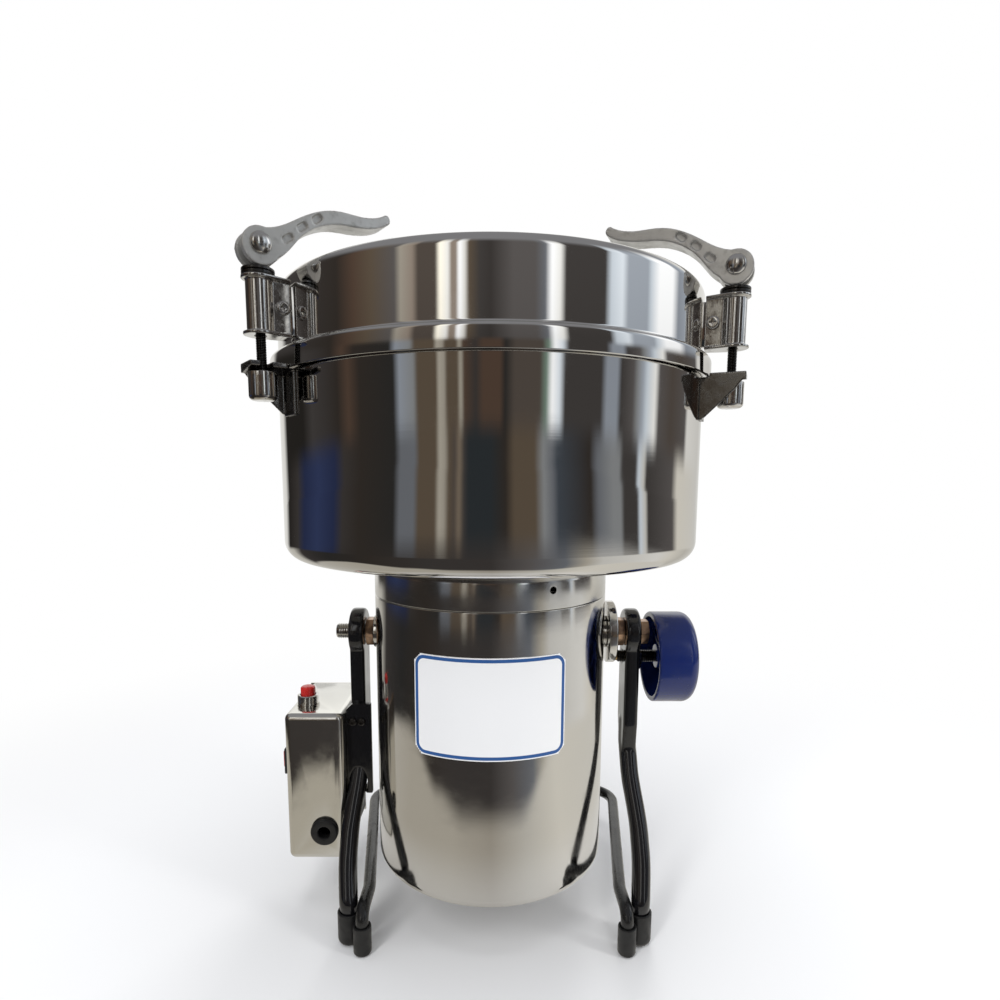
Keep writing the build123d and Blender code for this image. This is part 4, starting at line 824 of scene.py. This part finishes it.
die_cast = finish_of("die_cast", (0.62, 0.61, 0.58), 0.8, 0.38)
noise_relief(die_cast, 500, 3, 0.000014)
noise_relief(die_cast, 90, 2, 0.00006)
uneven_gloss(die_cast, 150, 6, 0.38, 0.7, 0.32, 0.50, roughness=0.7)
uneven_colour(die_cast, 220, 6, 0.5, 0.8, (0.62, 0.61, 0.58), (0.44, 0.43, 0.40))

PIN_Z = 402.183
DOME_R = 5.4
DOME_START = 6.5
DOME_RISE = 3.0
rod_outline = threaded(328.2, 399.2, 2.5, 0.8, 343.0)
ROD_NUT_R = 7.0
nut_outline = rounded(
    [(0, 328.0), (ROD_NUT_R, 328.0), (ROD_NUT_R, 339.2), (ROD_NUT_R, 342.0), (0, 342.55)],
    {1: 2.4, 3: 0.4}, steps=6,
)
eye_outline = rounded([(2.56, -2.8), (4.6, -2.8), (4.6, 2.8), (2.56, 2.8)], {1: 0.5, 2: 0.5})
dome = []
for degrees in range(0, 91, 10):
    rise = math.radians(degrees)
    dome.append((DOME_R * math.sin(rise), DOME_START + DOME_RISE * math.cos(rise)))
pin_outline = [(radius, -height) for radius, height in dome] + [(2.5, -6.45), (2.5, 6.45)] + dome[::-1]


def across_clamp(piece):
    """Lays a piece that stands on the z axis across a clamp, its middle on the lever pin's axis."""
    along_x(piece, 0, 0)
    piece.rotation_euler = (0, 0, math.radians(90))
    piece.location = (CLAMP_R, 0, PIN_Z)
    bpy.ops.object.transform_apply()
    return piece


for name, turn in CLAMP_TURNS.items():
    rod = on_lathe("draw_bar_" + name, rod_outline, 32, (CLAMP_R, 0))
    rod = joined([rod, across_clamp(on_lathe("eye", eye_outline, 40))], "draw_bar_" + name)
    place(rod, black_oxide, "rod_" + name, ["draw_rod_" + name], turn=turn)
    nut = on_lathe("tall_nut_" + name, nut_outline, 64, (CLAMP_R, 0))
    place(nut, plated_steel, "rod_" + name, ["rod_nut_" + name], turn=turn)
    lever = cast("cam_lever_" + name, "cast_lever_" + name, 0.42, 5)
    place_copy(lever, die_cast, "lever_" + name, "cam_lever_" + name, angle=60)
    pin = across_clamp(on_lathe("domed_pin_" + name, pin_outline, 48))
    place(pin, plated_steel, "lever_" + name, ["lever_pin_" + name], turn=turn)

# Control box
# A drawn case of polished stainless sheet with rolled front edges, closed behind by a flat screwed plate.
# A black steel pad ties it to the left upright with two screws.
box_steel = finish_of("box_steel", (0.82, 0.81, 0.77), 1.0, 0.12)
noise_relief(box_steel, 26, 2, 0.00022)
noise_relief(box_steel, 1, 4, 0.000003, stretch=(900, 900, 40))
uneven_gloss(box_steel, 55, 7, 0.38, 0.72, 0.09, 0.24, roughness=0.65)
case = machined("box_shell", "box_case", 0.3, 3)
apply_modifier(case, "WEIGHTED_NORMAL", keep_sharp=True)
place_copy(case, box_steel, "stand", "box_shell")
place_copy(machined("box_back", "box_cover", 0.3, 3), box_steel, "stand", "box_back")
pad = cast("box_bracket", "bracket_pad", 0.55, 4)
place_copy(pad, black_enamel, "stand", "box_bracket", angle=50)
pan_screws = machined("box_screws", "box_pan_screws", 0.12)
place_copy(pan_screws, black_oxide, "stand", "box_screws")

# Overload reset
# A bought-in breaker under the box's top: its threaded neck is held by a knurled ring nut,
# and a glossy red cap stands up in it to be pressed.
RESET_SPOT = (-124.0, 1.0)
BOX_TOP = 138.0
RING_R = 7.1
RING_BORE = 5.4
RING_TOP = BOX_TOP + 5.5
ring_steps = [(RING_BORE, BOX_TOP), (RING_R, BOX_TOP)]
for number in range(5):
    ring_steps.append((RING_R, BOX_TOP + 0.35 + number))
    ring_steps.append((6.6, BOX_TOP + 0.7 + number))
    ring_steps.append((RING_R, BOX_TOP + 1.05 + number))
ring_steps += [(6.4, RING_TOP), (RING_BORE, RING_TOP)]
ring_nut = on_lathe("ring_nut", ring_steps, 64, RESET_SPOT)
place(ring_nut, plated_steel, "stand", ["reset_collar"])
red_plastic = finish_of("red_plastic", (0.55, 0.020, 0.016), 0.0, 0.2, Coat_Weight=0.3)
noise_relief(red_plastic, 300, 3, 0.00003)
uneven_gloss(red_plastic, 200, 6, 0.4, 0.7, 0.14, 0.34)
cap_outline = rounded([(0, 141.3), (4.9, 141.3), (4.9, 149.0), (0, 149.5)], {1: 0.3, 2: 1.6})
stem_outline = [(0, 124), (1.6, 124), (1.6, 141.5), (0, 141.5)]
red_cap = on_lathe("red_cap", cap_outline, 64, RESET_SPOT)
red_cap = joined([red_cap, on_lathe("stem", stem_outline, 24, RESET_SPOT)], "red_cap")
place(red_cap, red_plastic, "reset", ["reset_button"])

# Rocker switch
# A snap-in switch on the box's outer side: a black moulded bezel round a red key that tips on its pivot.
bezel = machined("rocker_bezel", "switch_bezel", 0.25, 3)
place_copy(bezel, dark_plastic, "stand", "rocker_bezel")
key = machined("rocker_key", "red_key", 0.45, 3)
place_copy(key, red_plastic, "rocker", "rocker_key")

# Cord grommet
# A flanged ring of soft black rubber snapped into the box's front, where the cord would go in.
GROMMET_SPOT = (-109.0, 58.0)
BOX_FRONT = -24.0
grommet_outline = rounded(
    [(4, -3.4), (6.4, -3.4), (6.4, 0), (9, 0), (9, 2.6), (4, 2.6)], {3: 0.3, 4: 1.3, 5: 1.0},
)
grommet = on_lathe("inlet_ring", grommet_outline, 64)
select_only(grommet)
grommet.rotation_euler = (math.radians(90), 0, 0)
grommet.location = (GROMMET_SPOT[0], BOX_FRONT, GROMMET_SPOT[1])
bpy.ops.object.transform_apply()
place(grommet, boot_rubber, "stand", ["cord_grommet"])

# Studio
# A pale floor that fades to white, a white room to the camera, and a ring of tall panels that only the
# polished metal sees, which gives it the upright light and dark streaks of the photograph.

# The tones that the panels have, from the darkest corner of a room to its lamps.
INK = (0.02, 0.018, 0.016)
COAL = (0.026, 0.025, 0.024)
SOOT = (0.034, 0.028, 0.024)
GLOOM = (0.045, 0.04, 0.038)
SHADE = (0.055, 0.05, 0.048)
UMBER = (0.085, 0.055, 0.04)
DIM = (0.085, 0.07, 0.06)
BROWN = (0.11, 0.084, 0.06)
DUSK = (0.105, 0.097, 0.095)
TAN = (0.20, 0.16, 0.12)
STEEL = (0.15, 0.16, 0.18)
POOL = (0.026, 0.031, 0.035)
INDIGO = (0.055, 0.065, 0.08)
NAVY = (0.022, 0.03, 0.075)
BLUE = (0.032, 0.045, 0.11)
SEA = (0.19, 0.27, 0.22)
ZINC = (0.25, 0.26, 0.27)
CLAY = (0.29, 0.24, 0.20)
MIST = (0.29, 0.32, 0.37)
HAZE = (0.38, 0.42, 0.48)
FLAX = (0.36, 0.33, 0.28)
SAND = (0.43, 0.40, 0.34)
STONE = (0.54, 0.52, 0.47)
LINEN = (0.62, 0.61, 0.58)
CHALK = (0.72, 0.69, 0.62)
PALE = (0.77, 0.76, 0.73)
SKY = (0.65, 0.72, 0.80)
DAY = (0.82, 0.89, 0.97)
WALL = (0.95, 0.95, 0.93)
LAMP = (1.15, 1.17, 1.20)
WARM_LAMP = (1.20, 1.15, 1.00)

# Each ring lists its panels as a share of the turn, 0.5 in front, with the tone that starts or ends there.
PANELS = [
    (0.000, WALL), (0.105, PALE), (0.125, INK), (0.190, INK), (0.215, SHADE), (0.245, GLOOM),
    (0.272, SOOT), (0.292, UMBER), (0.312, SOOT), (0.366, COAL), (0.375, MIST), (0.395, ZINC),
    (0.401, BROWN), (0.426, BROWN), (0.431, SAND), (0.438, FLAX), (0.442, BROWN), (0.456, BROWN),
    (0.460, SAND), (0.465, UMBER), (0.480, GLOOM), (0.490, UMBER), (0.500, UMBER), (0.512, UMBER),
    (0.519, COAL), (0.532, DIM), (0.566, DIM), (0.575, SEA), (0.583, LAMP), (0.593, DAY), (0.601, SHADE),
    (0.655, SHADE), (0.664, MIST), (0.680, MIST), (0.687, SHADE), (0.708, DUSK), (0.716, ZINC),
    (0.726, HAZE), (0.734, SKY), (0.750, WALL), (0.760, DUSK), (0.790, DIM), (0.832, DUSK), (0.842, PALE),
    (0.900, LINEN), (1.000, WALL),
]
HIGH_PANELS = [
    (0.000, WALL), (0.105, PALE), (0.130, SHADE), (0.200, GLOOM), (0.270, SOOT), (0.300, UMBER),
    (0.330, BROWN), (0.366, DUSK), (0.375, FLAX), (0.392, CLAY), (0.400, DIM), (0.425, DIM),
    (0.431, WARM_LAMP), (0.442, WALL), (0.447, CLAY), (0.453, CLAY), (0.458, LAMP), (0.465, PALE),
    (0.470, BROWN), (0.485, SHADE), (0.500, GLOOM), (0.530, DUSK), (0.560, DUSK), (0.574, STEEL),
    (0.583, LAMP), (0.595, WALL), (0.603, SHADE), (0.662, SHADE), (0.672, SKY), (0.690, DAY),
    (0.700, HAZE), (0.735, HAZE), (0.742, SKY), (0.760, LAMP), (0.790, LAMP), (0.806, MIST),
    (0.835, HAZE), (0.860, PALE), (1.000, WALL),
]
FAR_PANELS = [
    (0.000, WALL), (0.105, PALE), (0.125, INK), (0.165, GLOOM), (0.188, NAVY), (0.225, BLUE),
    (0.262, NAVY), (0.280, GLOOM), (0.310, SOOT), (0.366, COAL), (0.375, STEEL), (0.395, STEEL),
    (0.402, BROWN), (0.425, BROWN), (0.431, SAND), (0.438, FLAX), (0.444, BROWN), (0.452, DIM),
    (0.458, TAN), (0.464, SHADE), (0.470, POOL), (0.500, POOL), (0.520, SOOT), (0.532, BROWN),
    (0.560, BROWN), (0.572, ZINC), (0.584, STEEL), (0.592, INDIGO), (0.640, SOOT), (0.652, STEEL),
    (0.676, ZINC), (0.688, ZINC), (0.694, SHADE), (0.718, SHADE), (0.724, SKY), (0.734, LINEN),
    (0.740, SHADE), (0.800, DUSK), (0.816, CHALK), (0.900, LINEN), (1.000, WALL),
]
# Painted reflections: the floor glows in these tones, near the object and further out, for the metal's rays
# only.
FLOOR_PAINTED_REFLECTION_LOW = [
    (0.000, PALE), (0.140, STONE), (0.175, GLOOM), (0.250, COAL), (0.330, SOOT), (0.420, GLOOM),
    (0.500, GLOOM), (0.550, DUSK), (0.600, STEEL), (0.630, SAND), (0.655, LINEN), (0.760, PALE),
    (0.800, CHALK), (0.850, STONE), (1.000, PALE),
]
FLOOR_PAINTED_REFLECTION_NEAR = [
    (0.000, LINEN), (0.300, SAND), (0.420, SAND), (0.500, FLAX), (0.575, STONE), (0.660, CHALK),
    (1.000, LINEN),
]


def share_of(tree, direction):
    """The turn of a direction or a place about the object as a share of the ring: 0.5 is in front."""
    parts = add(tree, "SeparateXYZ", {"Vector": direction})
    turn = maths(tree, "ARCTAN2", parts.outputs["X"], maths(tree, "MULTIPLY", parts.outputs["Y"], -1.0))
    return maths(tree, "ADD", maths(tree, "DIVIDE", turn, 2 * math.pi), 0.5)


def ring_of_panels(tree, share, ring):
    """The colour of a ring at this share of the turn; a ramp holds 32 stops, so each half has its own."""
    halves = []
    for start in (0.0, 0.5):
        from_start = maths(tree, "MULTIPLY", maths(tree, "SUBTRACT", share, start), 2.0)
        ramp = add(tree, "ValToRGB", {"Fac": from_start})
        stops = ramp.color_ramp.elements
        stops.remove(stops[-1])
        half = [(spot - start, tone) for spot, tone in ring if start <= spot <= start + 0.5]
        stops[0].position = 0.0
        stops[0].color = (*half[0][1], 1)
        for spot, tone in half[1:]:
            stops.new(spot * 2).color = (*tone, 1)
        halves.append(ramp.outputs["Color"])
    return mixed_colour(tree, maths(tree, "GREATER_THAN", share, 0.5), *halves)


# The heights in the room, as the rise of a direction, between which one ring fades into the next.
PANELS_START = (-0.03, 0.02)
HIGH_START = (0.16, 0.22)
CEILING_START = (0.45, 0.80)
CEILING = (0.20, 0.20, 0.21)
room = bpy.data.worlds.new("studio_room")
bpy.context.scene.world = room
room.use_nodes = True
tree = room.node_tree
tree.nodes.clear()
direction = add(tree, "TexCoord", {}).outputs["Generated"]
share = share_of(tree, direction)
upness = add(tree, "SeparateXYZ", {"Vector": direction}).outputs["Z"]
far_panels = ring_of_panels(tree, share, FAR_PANELS)
panels = ring_of_panels(tree, share, PANELS)
high_panels = ring_of_panels(tree, share, HIGH_PANELS)
panels = mixed_colour(tree, between(tree, upness, *PANELS_START), far_panels, panels)
panels = mixed_colour(tree, between(tree, upness, *HIGH_START), panels, high_panels)
panels = mixed_colour(tree, between(tree, upness, *CEILING_START), panels, (*CEILING, 1))
rays = add(tree, "LightPath", {})
plain = add(tree, "Background", {"Color": (0.93, 0.95, 1.0, 1), "Strength": 0.55})
panel_strength = between(tree, upness, 0.20, 0.45, 1.0, 1.25)
seen_by_metal = add(tree, "Background", {"Color": panels, "Strength": panel_strength})
white = add(tree, "Background", {"Color": (1, 1, 1, 1), "Strength": 1.0})
in_metal = rays.outputs["Is Glossy Ray"]
light = add(tree, "MixShader", {0: in_metal, 1: plain.outputs[0], 2: seen_by_metal.outputs[0]})
clear_rays = maths(tree, "MAXIMUM", rays.outputs["Is Camera Ray"], rays.outputs["Is Transmission Ray"])
light = add(tree, "MixShader", {0: clear_rays, 1: light.outputs[0], 2: white.outputs[0]})
output = tree.nodes.new("ShaderNodeOutputWorld")
tree.links.new(light.outputs[0], output.inputs["Surface"])
room.cycles.sampling_method = "NONE"

# Distances on the floor in metres.
FLOOR_SIZE = 8.0
NEAR_EDGE = (0.21, 0.27)
SIDE_WIDER = 0.20
FRONT_WIDER = 0.04
floor = primitive("plane", size=FLOOR_SIZE, location=(0, 0, 0))
floor.name = "studio_floor"
floor_paint = finish_of("floor_paint", (0.90, 0.90, 0.90), 0.0, 0.7)
tree = floor_paint.node_tree
spot = add(tree, "TexCoord", {}).outputs["Object"]
reach = add(tree, "VectorMath", {0: spot}, operation="LENGTH").outputs["Value"]
glow = add(tree, "Emission", {"Color": (1, 1, 1, 1), "Strength": 1.0})
share = share_of(tree, spot)
far_panels = ring_of_panels(tree, share, FAR_PANELS)
floor_painted_reflection_low = ring_of_panels(tree, share, FLOOR_PAINTED_REFLECTION_LOW)
floor_painted_reflection_near = ring_of_panels(tree, share, FLOOR_PAINTED_REFLECTION_NEAR)
seen = mixed_colour(tree, between(tree, reach, 1.15, 1.8), floor_painted_reflection_low, far_panels)
# The near floor's painted reflection, which the bowl's and the housing's lower parts mirror, reaches further
# out at the sides.
wider = between(tree, share, 0.28, 0.38, SIDE_WIDER, FRONT_WIDER)
wider = maths(tree, "ADD", wider, between(tree, share, 0.56, 0.70, 0.0, SIDE_WIDER))
wider = maths(tree, "SUBTRACT", wider, between(tree, share, 0.38, 0.44, 0.0, FRONT_WIDER))
past_edge = between(tree, maths(tree, "SUBTRACT", reach, wider), *NEAR_EDGE)
seen = mixed_colour(tree, past_edge, floor_painted_reflection_near, seen)
# The floor glows in these tones where the metal mirrors it. This is a painted reflection: light and dark
# streaks that no lamp casts.
streaks = add(tree, "Emission", {"Color": seen, "Strength": 1.0})
rays = add(tree, "LightPath", {})
far_away = maths(tree, "MULTIPLY", between(tree, reach, 0.22, 0.75), rays.outputs["Is Camera Ray"])
paint = tree.nodes["Principled BSDF"].outputs[0]
surface = add(tree, "MixShader", {0: far_away, 1: paint, 2: glow.outputs[0]})
under_object = between(tree, reach, 0.12, 0.20, 0.6, 1.0)
in_metal = maths(tree, "MULTIPLY", rays.outputs["Is Glossy Ray"], under_object)
surface = add(tree, "MixShader", {0: in_metal, 1: surface.outputs[0], 2: streaks.outputs[0]})
tree.links.new(surface.outputs[0], tree.nodes["Material Output"].inputs["Surface"])
floor.data.materials.append(floor_paint)


def soft_lamp(name, spot, size, watts):
    """A rectangular soft lamp that faces the middle of the object."""
    lamp = bpy.data.lights.new(name, "AREA")
    lamp.shape = "RECTANGLE"
    lamp.size, lamp.size_y = size
    lamp.energy = watts
    holder = bpy.data.objects.new(name, lamp)
    bpy.context.scene.collection.objects.link(holder)
    holder.location = spot
    aim = Vector((0, 0, 0.22)) - Vector(spot)
    holder.rotation_euler = aim.to_track_quat("-Z", "Y").to_euler()
    holder.visible_glossy = False


soft_lamp("key_lamp", (-0.75, -1.15, 1.05), (0.22, 1.2), 9.0)
soft_lamp("fill_lamp", (1.25, -0.65, 0.75), (0.20, 1.1), 6.0)
soft_lamp("back_lamp", (0.35, 1.3, 0.9), (0.6, 0.6), 6.0)
soft_lamp("top_lamp", (0.0, -0.1, 1.5), (0.9, 0.9), 8.0)

# Camera
# It stands where the photograph was taken from: close in front, a little above the middle, tipped down,
# with the lens shift that the photograph's framing needs.
CAMERA_SPOT = (AXIS[0], AXIS[1] - 0.41636, 0.2885)
FOCAL_PIXELS = 633.98
PICTURE_PIXELS = 1000
SENSOR = 36.0
TIPPED_DOWN = 7.537
LENS_SHIFT = (0.0096, 0.0638)
CAMERA_ROLL = -0.0022
lens = bpy.data.cameras.new("photo_camera")
lens.sensor_width = SENSOR
lens.lens = FOCAL_PIXELS / PICTURE_PIXELS * SENSOR
lens.shift_x, lens.shift_y = LENS_SHIFT
lens.clip_start = 0.01
camera = bpy.data.objects.new("photo_camera", lens)
bpy.context.scene.collection.objects.link(camera)
camera.location = CAMERA_SPOT
camera.rotation_euler = (math.radians(90 - TIPPED_DOWN), CAMERA_ROLL, 0)
bpy.context.scene.camera = camera
bpy.context.scene.view_settings.view_transform = "Standard"
